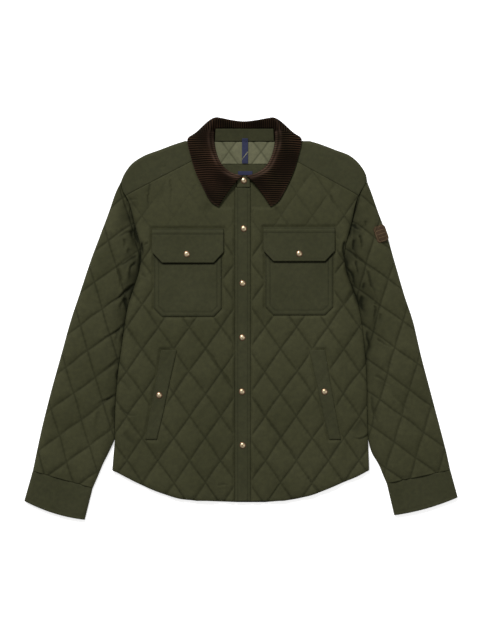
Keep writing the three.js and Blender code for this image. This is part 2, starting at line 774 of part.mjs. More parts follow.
function sleeveBadge() {
  const { x, y, width, height, cloth, corner, cornerSteps } = BADGE;
  const half = { x: width / 2, y: height / 2 };
  const shape = new THREE.Shape();
  shape.moveTo(-half.x + corner, -half.y);
  shape.lineTo(half.x - corner, -half.y);
  shape.absarc(half.x - corner, -half.y + corner, corner, -Math.PI / 2, 0);
  shape.absarc(half.x - corner, half.y - corner, corner, 0, Math.PI / 2);
  shape.absarc(-half.x + corner, half.y - corner, corner, Math.PI / 2, Math.PI);
  shape.absarc(-half.x + corner, -half.y + corner, corner, Math.PI, 1.5 * Math.PI);
  const outline = shape.getPoints(cornerSteps).slice(0, -1).map((point) => {
    return point.rotateAround(new THREE.Vector2(), SLEEVE_QUILT_TILT).add(new THREE.Vector2(x, y));
  });
  const top = sleeveTop('right', sleeveOutline('right'));
  const lower = (px, py) => top(px, py) + SEAM_GAP;
  const upper = (px, py) => top(px, py) + SEAM_GAP + cloth;
  return clothPiece(outline, sleeveLattices.right, lower, upper);
}

function snapCap() {
  return new THREE.LatheGeometry(SNAP_PROFILE.map(vector), SNAP_SIDES).rotateX(Math.PI / 2);
}

// Assembly

const jacket = new THREE.Group();

function add(name, finish, geometry) {
  const mesh = new THREE.Mesh(geometry, new THREE.MeshStandardMaterial(COLOURS[finish]));
  mesh.name = name;
  jacket.add(mesh);
  return mesh;
}

// Highest point of a surface under a snap cap
function seatHeight(surface, { x, y }) {
  const around = [...Array(SNAP_SEAT_POINTS).keys()].map((k) => {
    const turn = (2 * Math.PI * k) / SNAP_SEAT_POINTS;
    return surface(x + SNAP_RADIUS * Math.cos(turn), y + SNAP_RADIUS * Math.sin(turn));
  });
  return Math.max(surface(x, y), ...around);
}

function addSnap(name, place, z) {
  add(name, 'brass', snapCap()).position.set(place.x, place.y, z + SEAM_GAP);
}

const wearerSide = { left: 'right', right: 'left' };
const pocketLift = SEAM_GAP;
const flapLift = pocketLift + POCKET_CLOTH + SEAM_GAP;

add('back', 'shell', flatPiece(backOutline(), 0, BACK_THICKNESS));
add('front_right', 'shell', frontPanel('left'));
add('front_left', 'shell', frontPanel('right'));
['left', 'right'].forEach((side) => {
  const wearer = wearerSide[side];
  add(`yoke_${wearer}`, 'yoke', flatPiece(yokeOutline(side), FRONT_UNDERSIDE, FRONT_TOP));
  add(`sleeve_${wearer}`, 'shell', sleeve(side));
  add(`cuff_${wearer}`, 'yoke', cuff(side));
  add(`welt_${wearer}`, 'yoke', onFront(weltOutline(side), side, pocketLift, FLAP_CLOTH));
});
CHEST_PLACES.forEach((place) => {
  const side = wearerSide[place.name];
  const pocket = onFront(chestPocketOutline(place), side, pocketLift, POCKET_CLOTH);
  const flap = onFront(chestFlapOutline(place), side, flapLift, FLAP_CLOTH);
  add(`chest_pocket_${place.name}`, 'yoke', pocket);
  add(`pocket_flap_${place.name}`, 'yoke', flap);
});
add('placket', 'yoke', onFront(
  rectangle(PLACKET.left, PLACKET.right, HEM_FRONT_Y, PLACKET.top),
  'left', SEAM_GAP, BAND_CLOTH,
));
add('stand_tab', 'yoke', flatPiece(
  rectangle(STAND_TAB.left, STAND_TAB.right, PLACKET.top, STAND_TAB.top),
  STAND_TAB.underside, STAND_TAB.underside + BAND_CLOTH,
));
add('collar', 'corduroy', collar());
add('collar_stand', 'yoke', collarStand());
add('neck_lining', 'lining', neckLining());
add('neck_facing', 'yoke', flatPiece(
  neckOutline(FACING.top, FACING.bottom),
  FRONT_UNDERSIDE, FRONT_UNDERSIDE + LINING_CLOTH,
));
add('neck_label', 'navy', flatPiece(
  rectangle(LABEL.left, LABEL.right, LABEL.bottom, LABEL.top),
  FRONT_UNDERSIDE + LINING_CLOTH + SEAM_GAP, FRONT_UNDERSIDE + LINING_CLOTH + SEAM_GAP + LABEL_CLOTH,
));
add('hanger_loop', 'navy', hangerLoop());
add('sleeve_badge', 'badge', sleeveBadge());

CLOSURE_SNAPS.forEach((place, k) => {
  const underside = k === 0 ? STAND_TAB.underside : seatHeight(frontTop, place) + SEAM_GAP;
  addSnap(`snap_front_${k + 1}`, place, underside + BAND_CLOTH);
});
FLAP_SNAPS.forEach((place) => {
  addSnap(`snap_flap_${place.name}`, place, seatHeight(frontTop, place) + flapLift + FLAP_CLOTH);
});
WELT_SNAPS.forEach((place) => {
  addSnap(`snap_welt_${place.name}`, place, seatHeight(frontTop, place) + pocketLift + FLAP_CLOTH);
});

// The origin is under the middle of the whole jacket, on the table
const bounds = new THREE.Box3().setFromObject(jacket);
const centre = bounds.getCenter(new THREE.Vector3());
jacket.position.set(-centre.x, -centre.y, 0);

export default jacket;
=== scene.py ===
import math

import bmesh
import bpy
import numpy as np
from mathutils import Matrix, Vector


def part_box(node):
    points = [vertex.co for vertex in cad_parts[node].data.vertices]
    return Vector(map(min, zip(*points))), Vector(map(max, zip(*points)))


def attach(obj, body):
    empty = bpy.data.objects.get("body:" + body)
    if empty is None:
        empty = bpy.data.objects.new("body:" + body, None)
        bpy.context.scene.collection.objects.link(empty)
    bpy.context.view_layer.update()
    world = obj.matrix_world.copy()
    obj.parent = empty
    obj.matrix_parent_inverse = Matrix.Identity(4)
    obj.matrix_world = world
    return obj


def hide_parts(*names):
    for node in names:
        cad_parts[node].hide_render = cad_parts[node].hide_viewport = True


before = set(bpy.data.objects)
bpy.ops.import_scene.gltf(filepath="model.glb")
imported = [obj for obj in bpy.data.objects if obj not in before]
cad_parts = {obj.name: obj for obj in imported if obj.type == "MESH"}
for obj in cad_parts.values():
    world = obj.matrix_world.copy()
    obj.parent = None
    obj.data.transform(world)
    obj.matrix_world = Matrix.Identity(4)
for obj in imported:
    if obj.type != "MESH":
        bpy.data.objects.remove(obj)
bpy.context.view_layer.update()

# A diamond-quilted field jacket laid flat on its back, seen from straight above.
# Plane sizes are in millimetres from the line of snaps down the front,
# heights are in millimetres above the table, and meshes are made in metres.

MM = 0.001
FLOOR_HALF = 3.0

# Cloth layers, counted up from the table
SEAM_GAP = 0.3
BACK_THICKNESS = 4.5
FRONT_UNDERSIDE = 4.8
FRONT_TOP = 8.0
POCKET_LIFT = 0.3
POCKET_CLOTH = 1.8
FLAP_LIFT = 2.4
FLAP_CLOTH = 2.2
BAND_CLOTH = 2.5
LINING_TOP = 6.3
CORDUROY = 2.6

# Diamond quilting
DIAMOND_WIDTH = 62.8
DIAMOND_HEIGHT = 88.8
LINE_SPACING = DIAMOND_WIDTH * DIAMOND_HEIGHT / math.hypot(DIAMOND_WIDTH, DIAMOND_HEIGHT)
DIAMOND_PUFF = 3.0
GROOVE_DEPTH = 0.9
GROOVE_WIDTH = 1.4
QUILT_WANDER = 1.3
SLEEVE_TILT = math.radians(18.7)
BODY_NODE = (44, -103)
SLEEVE_NODE = {"left": (-281, 22), "right": (303, -55)}
LINING_NODE = (-28, 336)

SLEEVE_TOP = 9.2
SLEEVE_RIM = 3.6
SLEEVE_ROUND = 22
SLEEVE_SLIT = (4.0, 4.6)
SLEEVE_SLIT_INSET = 12
CUFF_TOP = 8.0

PLACKET = {"left": -16, "right": 14.6, "top": 264}
PLACKET_SEAM = 5.5
PLACKET_OVERLAP = 0.6
PLACKET_PATCH = {"top": 300, "below_hem": 9}
STAND_TAB = {"left": -12, "right": 14, "top": 288, "underside": 9.3}
NECK_AXIS_X = 3
HEM_Y = -361

# Outline of the laid garment: height on the table, then left and right x
SHOULDER = [
    (359, -111, 128), (352, -134, 152), (340, -166, 184), (328, -198, 214),
    (312, -222, 232), (292, -237, 245), (276, -244, 248),
]
ARMHOLE = [
    (276, -244, 248), (258, -240, 236), (236, -228, 226), (190, -216, 216), (142, -204, 204),
    (104, -206, 205), (26, -230, 231), (-50, -242, 242), (-110, -250, 247), (-174, -255, 248),
    (-238, -256, 250),
]
SIDE = [(-238, -256, 250), (-300, -261, 252)]
HEM = [
    (-300, -261, 252), (-312, -237, 229), (-324, -214, 201), (-337, -186, 170),
    (-349, -154, 139), (-357, -126, 106), (HEM_Y, -92, 80),
]
SLEEVE_OUTER = [
    (276, -244, 248), (256, -254, 256), (216, -268, 270), (168, -286, 288), (120, -304, 302),
    (48, -328, 323), (0, -344, 339), (-72, -364, 356), (-144, -384, 375), (-216, -402, 394),
    (-262, -412, 406),
]
SLEEVE_UNDER = [(-238, -256, 250), (-264, -268, 257), (-288, -280, 271), (-312, -290, 281)]

# Corners of the cuffs, whose open ends bow outwards
CUFF = {
    "left": {
        "outer_top": (-420, -301), "inner_top": (-300, -335),
        "inner_end": (-316, -399), "outer_end": (-437, -361),
    },
    "right": {
        "outer_top": (414, -299), "inner_top": (287, -326),
        "inner_end": (302, -390), "outer_end": (429, -354),
    },
}
CUFF_END_BOW = {"left": 6, "right": 4.5}
CUFF_LENGTH = 63.0
CUFF_WIDTH = 125.0
CUFF_RIM = 3.4
CUFF_HEM = 6

# Yoke seam, the yoke's edge by the neck as height and half width,
# the back's edges at the neck and hem, and half of the neck opening
YOKE_SEAM = {"at_neck": 334, "at_armhole": 248, "neck_out": 72}
YOKE_NECK = [(344, 75), (347, 92), (357.5, 110)]
BACK_NECK = [(-100, 344), (-82, 340), (88, 340), (106, 344)]
BACK_HEM = [(-10, HEM_Y - 3), (44, HEM_Y - 3)]
NECK_HALF = [(78, 352), (74, 340), (66, 318), (51, 296), (33, 280), (2, 272)]

# Stitched row above the hem: its height above it and how far out it runs
HEM_SEAM = 9
HEM_SEAM_REACH = 248

# Pockets, their flaps and stitched rows, and the welts as height, inner and outer x
CHEST_POCKET = {"width": 135, "height": 175, "clip": 16, "under_flap": 6}
CHEST_FLAP = {"width": 142.5, "side": 47, "height": 68, "clip": 20}
POCKET_SEAMS = (1.6, 9.5)
FLAP_SEAMS = (2, 10.5)
CHEST_PLACES = {"right": (-110, 182), "left": (112, 185)}
WELT_SEAM_SHARE = 1 - 2.2 / 14
WELT = [(-60, 132, 163.5), (-124, 146.5, 174), (-184, 159, 185), (-238, 172, 195)]

# The side of the picture and the side of the wearer
WEARER = {"left": "right", "right": "left"}

# Half of the collar, from its front tip to the middle of the back:
# free edge of the fall, its bend, the roll and the lower inner edge
COLLAR_HALF = [
    ((52, 226, 11.2), (32, 256, 13.6), (9, 283, 16.6), (3, 287, 14.6)),
    ((67, 236, 11.2), (43, 266, 14.2), (29, 288.5, 18.2), (22, 291.5, 11.8)),
    ((83, 264, 11.2), (63, 281, 15.4), (49, 301, 19.6), (41.5, 305, 9.6)),
    ((99, 299, 11.0), (79, 308, 16.2), (60.5, 320.5, 20.6), (53, 324, 9.2)),
    ((108, 330, 10.8), (90, 335, 16.8), (69, 343, 21.4), (59.5, 346, 9.2)),
    ((113, 350, 10.6), (93.5, 354, 17.0), (71.5, 360, 22), (61, 362, 9.6)),
    ((113.5, 361, 9.6), (94, 366, 17.0), (71, 372, 22), (60.5, 371, 11.0)),
    ((107, 366, 4.2), (91, 376, 14.0), (68, 383, 22), (60, 378, 12.4)),
    ((98, 352, 1.5), (82, 386, 10.5), (64, 395.5, 21.4), (58, 382, 13.6)),
    ((84, 346, 1.5), (68, 395, 8.0), (56, 401, 20.4), (54, 382.6, 14)),
    ((62, 345, 1.5), (50, 396, 7.4), (46, 400, 20), (44, 382.6, 14)),
    ((32, 344, 1.5), (26, 392, 7.2), (24, 396, 19.6), (23, 382.6, 14)),
    ((0, 344, 1.5), (0, 390, 7.2), (0, 393.5, 19.4), (0, 382.6, 14)),
]
COLLAR_CORNER_ROW = 6.5
WALE_PITCH = 4.3
WALE_HEIGHT = 0.45

# Inside of the neck and the badge on the sleeve
STAND = {
    "out": 57.6, "out_low": 59.2, "top": 381, "bottom": 356,
    "top_under": 12.6, "bottom_under": 6.6, "cloth": 1.8,
}
LINING_ROWS = (356, 311)
LINING_PUFF = 1.2
FACING_ROWS = (311, 275)
LABEL = {"left": -10, "right": 19, "top": 297, "bottom": 289, "under": 6.6, "cloth": 0.9}
HANGER_LOOP = {"left": -2, "right": 10, "top": 362, "bottom": 312, "cloth": 0.9, "on_lining": 7.8}
LOOP_BAR = [[(-1, 321), (9, 334)], [(-1, 322.2), (9, 335.2)]]
BADGE = {"x": 275, "y": 172, "width": 24, "height": 34, "cloth": 1.2, "corner": 7}

# Snap caps: half of their section, from the middle outwards, and their places
SNAP_PROFILE = [
    (0, 2.7), (1.5, 2.62), (2.8, 2.38), (3.9, 1.98), (4.7, 1.5), (5.2, 1.12), (5.6, 0.98), (6.0, 0.88),
    (6.25, 0.62), (6.3, 0.3), (6.1, 0.0),
]
SNAP_SIDES = 48
SNAP_SEAT = 5.5
CLOSURE_SNAPS = [(1.5, 278), (1.5, 182), (-0.8, 73), (-1.4, -35), (-2, -143), (-0.8, -250)]
FLAP_SNAPS = {"right": (-112, 131), "left": (112, 132)}
WELT_SNAPS = {"right": (-167, -150), "left": (162.5, -143)}

# Creases placed one by one, each the points of its line, its half width and its depth
BODY_CREASES = [
    ([(-189, 274), (-190, 240), (-187, 206)], 2, 1.7),
    ([(-145, 282), (-146, 252), (-142, 226)], 2, 1.2),
    ([(-22, -128), (-66, -68), (-109, -9)], 1.8, 1.3), ([(18, -155), (84, -248), (151, -343)], 1.8, 1.5),
    ([(-52, -329), (-24, -331)], 1.4, 1.2), ([(-50, -337), (-26, -338)], 1.4, 0.9),
    ([(250, -228), (232, -236), (214, -232)], 2.6, 2.0),
    ([(-246, -176), (-224, -190), (-196, -190)], 2.4, 1.4),
    ([(-160, 262), (-164, 238)], 3, 0.7),
    ([(-203, 156), (-201, 142), (-199, 126)], 2.4, 3), ([(-189, 153), (-200, 151)], 2.2, 1.8),
    ([(200, 159), (201, 142), (202, 120), (203, 106)], 2.8, 3.2), ([(-226, 236), (-204, 244)], 3, 1),
    ([(-204, 92), (-186, 80)], 4, 1.2), ([(-232, -20), (-206, -44)], 5, 1.0),
    ([(-244, -120), (-216, -150)], 6, 1.0), ([(-240, -226), (-206, -256)], 8, 1.2),
    ([(172, 252), (186, 222), (192, 208)], 2.2, 1.5), ([(184, 168), (196, 158)], 2.4, 1.6),
    ([(206, 136), (188, 118)], 4, 1.2), ([(222, 60), (196, 30)], 5, 1.0),
    ([(232, -20), (206, -44)], 6, 1.0), ([(236, -200), (204, -236)], 8, 1.2),
    ([(60, 236), (74, 204)], 7, 0.9), ([(-70, 236), (-84, 206)], 7, 0.8),
]
SLEEVE_CREASES = {
    "left": [
        ([(-243, 258), (-226, 237), (-221, 228), (-218, 210), (-220, 196)], 2.6, 4),
        ([(-224, 232), (-227, 214), (-222, 200)], 2.2, 2.2),
        ([(-215, 186), (-213, 162), (-211, 146)], 2.6, 4.2),
        ([(-221, 184), (-220, 162), (-219, 144)], 7, 2.4),
        ([(-209, 128), (-204.5, 115), (-206, 95), (-208, 80)], 3, 4),
        ([(-214, 116), (-223, 105), (-228, 90), (-230, 68)], 3, 2.8),
        ([(-249, 104), (-246, 83), (-244, 58)], 3.2, 2.2), ([(-238, 160), (-238.5, 140)], 3.4, 2),
        ([(-226, 142), (-229, 124)], 4, 1.8),
        ([(-213, 75), (-243, 50), (-278, 23)], 2.2, 3.2),
        ([(-216, 180), (-228, 177), (-246, 167), (-260, 158)], 2.4, 1.8),
        ([(-213, 130), (-229, 120), (-246, 108), (-272, 90)], 2.2, 2.2),
        ([(-239, 46), (-244, 27), (-245, 12)], 3, 2.4), ([(-238, 44), (-233, 27), (-234, 0)], 4.5, 3.4),
        ([(-224, 50), (-230, 36)], 2.8, 1.8),
        ([(-231, -7), (-264, -28), (-294, -50)], 2.4, 2.6),
        ([(-236, -14), (-242, -36), (-243, -58)], 3.6, 2.8), ([(-256, -24), (-250, -60)], 4, 1.4),
        ([(-240, -72), (-258, -84), (-288, -108)], 2.4, 2.2),
        ([(-246, -88), (-250, -112), (-249, -134), (-250, -150)], 3.4, 3.2),
        ([(-250, -148), (-274, -158), (-300, -176)], 2.6, 2.4),
        ([(-256, -168), (-262, -206), (-270, -240)], 4, 2.2), ([(-288, -180), (-300, -240)], 5, 1.2),
    ],
    "right": [
        ([(237, 282), (231, 267), (226, 245), (224, 225), (221.5, 198)], 3, 3.8),
        ([(214, 194), (214, 180), (212, 160)], 2.6, 4), ([(222, 196), (222, 176), (218, 150)], 5, 1.8),
        ([(203, 110), (214, 93), (221, 77), (229, 60), (236, 50)], 2.6, 3.2),
        ([(236, 50), (232, 33), (239, 17), (244, 0)], 5, 3),
        ([(215, 191), (231, 182), (246, 174)], 2.4, 2.2), ([(231, 170), (236, 150), (236.5, 130)], 3, 2.4),
        ([(219, 162), (221, 140), (228, 122)], 3.2, 2.6), ([(244, 197), (246, 178)], 3.2, 1.6),
        ([(218, 129), (234, 118), (249, 108), (282, 84)], 2.4, 2.4),
        ([(225, 117), (227, 100), (231, 80)], 3.2, 2.6),
        ([(246, 100), (251, 77), (261, 58), (271, 28)], 3, 2.2),
        ([(242, 77), (237, 53)], 2.6, 2.4), ([(261, 34), (282, 18)], 2.4, 1.8),
        ([(261, 28), (264, -10)], 3, 2.2), ([(227, 2), (244, -13), (256, -19)], 2.4, 2.4),
        ([(274, 12), (272, -10)], 4, 1.8), ([(246, -20), (250, -56), (244, -100)], 3.4, 2.8),
        ([(266, -38), (304, -60)], 2.4, 2), ([(236, -66), (246, -78), (232, -94)], 2.6, 2.2),
        ([(252, -150), (262, -190), (274, -232)], 3.6, 2), ([(262, -112), (304, -134)], 3, 1.6),
        ([(300, -150), (350, -204)], 5, 1.2),
    ],
}
YOKE_CREASES = [([(-150, 306), (-176, 300)], 8, 0.7), ([(150, 308), (180, 298)], 8, 0.7)]


# Frame

placket_low, placket_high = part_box("placket")
OFFSET_X = placket_low[0] / MM - (PLACKET["left"] + SEAM_GAP / 2)
OFFSET_Y = placket_low[1] / MM - (HEM_Y + SEAM_GAP / 2)


def to_frame(points):
    """Garment millimetres to metres in the frame."""
    placed = np.asarray(points, dtype=float) + (OFFSET_X, OFFSET_Y, 0.0)
    return placed * MM


# Lines in the plane

def mix_at(t, knots, u, v, i, j):
    """The point between u and v at place t between two knots."""
    return (u * (knots[j] - t) + v * (t - knots[i])) / (knots[j] - knots[i])


def spline(points, step=4.0):
    """A smooth line through the points, with a point about every step millimetres."""
    p = np.asarray(points, dtype=float)
    p = np.vstack([2 * p[0] - p[1], p, 2 * p[-1] - p[-2]])
    line = []
    for a, b, c, d in zip(p, p[1:], p[2:], p[3:]):
        gaps = [max(np.linalg.norm(v - u), 1e-6) ** 0.5 for u, v in ((a, b), (b, c), (c, d))]
        knots = np.cumsum([0] + gaps)
        count = max(2, int(np.linalg.norm(c - b) / step) + 1)
        for t in np.linspace(knots[1], knots[2], count, endpoint=False):
            first = mix_at(t, knots, a, b, 0, 1)
            second = mix_at(t, knots, b, c, 1, 2)
            third = mix_at(t, knots, c, d, 2, 3)
            fourth, fifth = mix_at(t, knots, first, second, 0, 2), mix_at(t, knots, second, third, 1, 3)
            line.append(mix_at(t, knots, fourth, fifth, 1, 2))
    line.append(p[-2])
    return np.array(line)


def side_line(rows, side):
    column = 1 if side == "left" else 2
    return spline([(row[column], row[0]) for row in rows])


def x_at(line, y):
    """x of a line that runs down the garment, at each height y."""
    order = np.argsort(line[:, 1])
    return np.interp(y, line[order, 1], line[order, 0])


def joined(*lines):
    points = np.vstack([np.asarray(line, dtype=float) for line in lines])
    gaps = np.linalg.norm(np.diff(points, axis=0), axis=1)
    return points[np.concatenate([[True], gaps > 1e-6])]


def resampled(line, step):
    line = np.asarray(line, dtype=float)
    reach = np.concatenate([[0], np.cumsum(np.linalg.norm(np.diff(line, axis=0), axis=1))])
    count = max(2, int(round(reach[-1] / step)) + 1)
    at = np.linspace(0, reach[-1], count)
    return np.stack([np.interp(at, reach, line[:, k]) for k in range(line.shape[1])], axis=1)


def distance_to_line(x, y, line):
    points = np.stack([np.ravel(x), np.ravel(y)], axis=1).astype(float)
    nearest = np.full(len(points), np.inf)
    for a, b in zip(line[:-1], line[1:]):
        run = np.asarray(b, dtype=float) - a
        share = np.clip((points - a) @ run / max(run @ run, 1e-9), 0, 1)
        gap = points - a - share[:, None] * run
        nearest = np.minimum(nearest, np.hypot(gap[:, 0], gap[:, 1]))
    return nearest.reshape(np.shape(x))


def is_inside(x, y, outline):
    inside = np.zeros(np.shape(x), dtype=bool)
    for a, b in zip(outline, np.roll(outline, -1, axis=0)):
        if a[1] == b[1]:
            continue
        crosses = ((a[1] > y) != (b[1] > y)) & (x < a[0] + (y - a[1]) / (b[1] - a[1]) * (b[0] - a[0]))
        inside ^= crosses
    return inside


def distance_outside(x, y, outline):
    closed = np.vstack([outline, outline[:1]])
    return np.where(is_inside(x, y, outline), 0.0, distance_to_line(x, y, closed))


def smooth_step(value, low, high):
    t = np.clip((value - low) / (high - low), 0, 1)
    return t * t * (3 - 2 * t)


def rounded(inwards, reach):
    """Height share of a rounded rim: 0 on its edge, 1 from reach inwards."""
    return np.sqrt(np.clip(1 - (1 - np.clip(inwards / reach, 0, 1)) ** 2, 0, 1))


# Surface relief

def ripple(x, y, wavelength, seed):
    """Soft uneven waves from -1 to 1, the same on every run."""
    waves = np.random.default_rng(seed)
    total = np.zeros(np.shape(x))
    for _ in range(7):
        turn, phase = waves.uniform(0, math.tau, 2)
        length = wavelength * waves.uniform(0.6, 1.7)
        total += np.sin((x * math.cos(turn) + y * math.sin(turn)) * math.tau / length + phase)
    return total / 4


def wandering(x, y, reach, wavelength, seed):
    """Points shifted a little to and fro, so that even lines come out uneven."""
    return x + reach * ripple(x, y, wavelength, seed), y + reach * ripple(x, y, wavelength, seed + 1)


def quilt(across, along, seed):
    """Height share of the padded diamonds and closeness to a stitched line."""
    across, along = wandering(across, along, QUILT_WANDER, 80, seed)
    height = np.ones(np.shape(across))
    line = np.zeros(np.shape(across))
    for sign in (1, -1):
        count = across / DIAMOND_WIDTH + sign * along / DIAMOND_HEIGHT
        off = np.abs(count - np.round(count)) * LINE_SPACING
        height = height * (1 - (1 - off / (LINE_SPACING / 2)) ** 3.6)
        line = np.maximum(line, np.exp(-((off / GROOVE_WIDTH) ** 2)))
        run = across / DIAMOND_WIDTH - sign * along / DIAMOND_HEIGHT
        gathers = np.sin(run * LINE_SPACING * math.tau / 11 + 3 * ripple(across, along, 60, seed + sign))
        height = height + 0.07 * gathers * np.exp(-((off / 7) ** 2))
    return height, line


def crease_depth(x, y, creases):
    """How deep the creases press the cloth in; each fades in and out along its line."""
    x, y = wandering(*wandering(x, y, 2.2, 34, 95), 0.7, 10, 97)
    depth = np.zeros(np.shape(x))
    for points, half_width, drop in creases:
        line = np.asarray(points, dtype=float)
        reach = np.concatenate([[0], np.cumsum(np.linalg.norm(np.diff(line, axis=0), axis=1))])
        nearest = np.full(np.shape(x), np.inf)
        share = np.zeros(np.shape(x))
        facing = np.ones(np.shape(x))
        for k, (a, b) in enumerate(zip(line[:-1], line[1:])):
            run = b - a
            t = np.clip(((x - a[0]) * run[0] + (y - a[1]) * run[1]) / (run @ run), 0, 1)
            away = np.hypot(x - a[0] - t * run[0], y - a[1] - t * run[1])
            closer = away < nearest
            nearest = np.where(closer, away, nearest)
            share = np.where(closer, (reach[k] + t * (reach[k + 1] - reach[k])) / reach[-1], share)
            turn = run[0] * (y - a[1]) - run[1] * (x - a[0])
            facing = np.where(closer, np.sign(turn), facing)
        taper = smooth_step(share, -0.02, 0.1) * (1 - smooth_step(share, 0.3, 1.0))
        width = half_width * (1 - 0.3 * share) * np.where(facing > 0, 1.35, 0.6)
        lip = 0.3 * (facing < 0) * np.exp(-(((nearest - 2.6 * width) / (1.5 * width)) ** 2))
        depth += drop * taper * (np.exp(-((nearest / width) ** 1.5)) - lip)
    return depth


# Outlines

def chest_pocket_outline(place):
    x, top = place
    half = CHEST_POCKET["width"] / 2
    bottom = top - CHEST_POCKET["height"]
    clip = CHEST_POCKET["clip"]
    upper = top - CHEST_POCKET["under_flap"]
    return np.array([
        (x - half, upper), (x - half, bottom + clip), (x - half + clip, bottom),
        (x + half - clip, bottom), (x + half, bottom + clip), (x + half, upper),
    ])


def chest_flap_outline(place):
    x, top = place
    half = CHEST_FLAP["width"] / 2
    side, height, clip = CHEST_FLAP["side"], CHEST_FLAP["height"], CHEST_FLAP["clip"]
    return np.array([
        (x - half, top), (x - half, top - side), (x - half + clip, top - height),
        (x + half - clip, top - height), (x + half, top - side), (x + half, top),
    ])


def welt_lines(side):
    sign = -1 if side == "left" else 1
    inner = np.array([(sign * row[1], row[0]) for row in WELT], dtype=float)
    outer = np.array([(sign * row[2], row[0]) for row in WELT], dtype=float)
    return inner, outer


def welt_outline(side):
    inner, outer = welt_lines(side)
    return np.vstack([inner, outer[::-1]])


def collar_shadow():
    ends = [row[0] for row in COLLAR_HALF if row[0][2] > 8]
    right = [(NECK_AXIS_X + x, y) for x, y, z in ends]
    left = [(NECK_AXIS_X - x, y) for x, y, z in ends]
    return np.array(right + left[::-1], dtype=float)


def placket_outline():
    """The strip in which the quilting lies flat under the placket."""
    left, right = PLACKET["left"], PLACKET["right"]
    low, top = HEM_Y - PLACKET_PATCH["below_hem"], PLACKET_PATCH["top"]
    return np.array([(left, low), (right, low), (right, top), (left, top)], dtype=float)


LINES = {}
for side_name in ("left", "right"):
    LINES[side_name] = {
        "shoulder": side_line(SHOULDER, side_name),
        "armhole": side_line(ARMHOLE, side_name),
        "side": side_line(SIDE, side_name),
        "hem": side_line(HEM, side_name),
        "sleeve": side_line(SLEEVE_OUTER, side_name),
        "under": side_line(SLEEVE_UNDER, side_name),
    }

FLAT_PATCHES = [
    (chest_pocket_outline(CHEST_PLACES["right"]), 0.08), (chest_pocket_outline(CHEST_PLACES["left"]), 0.08),
    (chest_flap_outline(CHEST_PLACES["right"]), 0.08), (chest_flap_outline(CHEST_PLACES["left"]), 0.08),
    (welt_outline("left"), 0.2), (welt_outline("right"), 0.2),
    (placket_outline(), 0.0), (collar_shadow(), 0.0),
]
FLAT_FADE = 7


def flat_share(x, y):
    share = np.ones(np.shape(x))
    for outline, puff in FLAT_PATCHES:
        away = smooth_step(distance_outside(x, y, outline), 0, FLAT_FADE)
        share = np.minimum(share, puff + (1 - puff) * away)
    return share


def armhole_closeness(x, y, width):
    """1 on the armhole seams, where the cloth sinks between front and sleeve."""
    x, y = wandering(x, y, 1.6, 26, 99)
    left = distance_to_line(x, y, LINES["left"]["armhole"][::3])
    right = distance_to_line(x, y, LINES["right"]["armhole"][::3])
    wander = 1 + 0.35 * ripple(x, y, 60, 93)
    high = (0.4 * smooth_step(y, -230, -40) + 0.6 * smooth_step(y, -40, 70)) * (1 - smooth_step(y, 190, 270))
    return (0.1 + 0.9 * high) * np.exp(-((np.minimum(left, right) / (width * wander)) ** 2))


def quilt_strength(x, y):
    """The quilting pulls flat over the chest, more so on the wearer's right."""
    chest = smooth_step(y, 150, 185) * smooth_step(np.abs(x), 10, 24)
    calm = np.where(x < 0, 0.85, 0.55) * (1 - 0.5 * smooth_step(np.abs(x), 170, 215))
    return 1 - chest * calm


def front_top(x, y):
    puff, line = quilt(np.abs(x) - BODY_NODE[0], y - BODY_NODE[1], 11)
    share = flat_share(x, y)
    strength = quilt_strength(x, y)
    puff = 0.5 + (puff - 0.5) * strength
    line = line * strength
    wave = 0.6 * ripple(x, y, 150, 3) + 0.3 * ripple(x, y, 48, 5)
    relief = DIAMOND_PUFF * share * puff + GROOVE_DEPTH * share * (1 - line)
    folds = crease_depth(x, y, BODY_CREASES) * smooth_step(share, 0.15, 0.8)
    dip = 2.6 * armhole_closeness(x, y, 12)
    return FRONT_TOP + relief + wave * np.clip(share + 0.2, 0, 1) - folds - dip


def fold_shade(x, y):
    """Painted shade along the armhole seams, darker in some stretches than in others."""
    patchy = np.clip(0.55 + 0.5 * ripple(x, y, 45, 101), 0, 1)
    return 0.68 * patchy * armhole_closeness(x, y, 4.5)


def placket_shade(x, y):
    """Painted shadow line along the free edge of the placket, stronger in some stretches."""
    patchy = np.clip(0.75 + 0.35 * ripple(x, y, 70, 107), 0.3, 1)
    return 0.8 * patchy * np.exp(-(((x - PLACKET["left"] + 0.4) / 0.8) ** 2)) * (y < PLACKET["top"])


def front_shade(x, y):
    """Painted shade by the quilting stitches and in the deep folds, with the painted armhole shade and the
    placket's painted shadow line.
    """
    line = quilt(np.abs(x) - BODY_NODE[0], y - BODY_NODE[1], 11)[1] * quilt_strength(x, y)
    folds = np.clip(crease_depth(x, y, BODY_CREASES) / 2.7, 0, 1) ** 1.2
    seen = smooth_step(flat_share(x, y), 0.2, 0.9)
    return np.clip(np.maximum(0.48 * line, folds) * seen + fold_shade(x, y) + placket_shade(x, y), 0, 1)


def sleeve_turned(x, y, side):
    mirror = 1 if side == "left" else -1
    node = SLEEVE_NODE[side]
    dx, dy = (x - node[0]) * mirror, y - node[1]
    c, s = math.cos(SLEEVE_TILT), math.sin(SLEEVE_TILT)
    return dx * c - dy * s, dx * s + dy * c


def sleeve_top(x, y, side):
    across, along = sleeve_turned(x, y, side)
    puff, line = quilt(across, along, 23 if side == "left" else 29)
    wave = 0.6 * ripple(x, y, 110, 31) + 0.3 * ripple(x, y, 38, 37)
    folds = crease_depth(x, y, SLEEVE_CREASES[side])
    dip = 4.0 * armhole_closeness(x, y, 16)
    return SLEEVE_TOP + DIAMOND_PUFF * puff + GROOVE_DEPTH * (1 - line) + wave - folds - dip
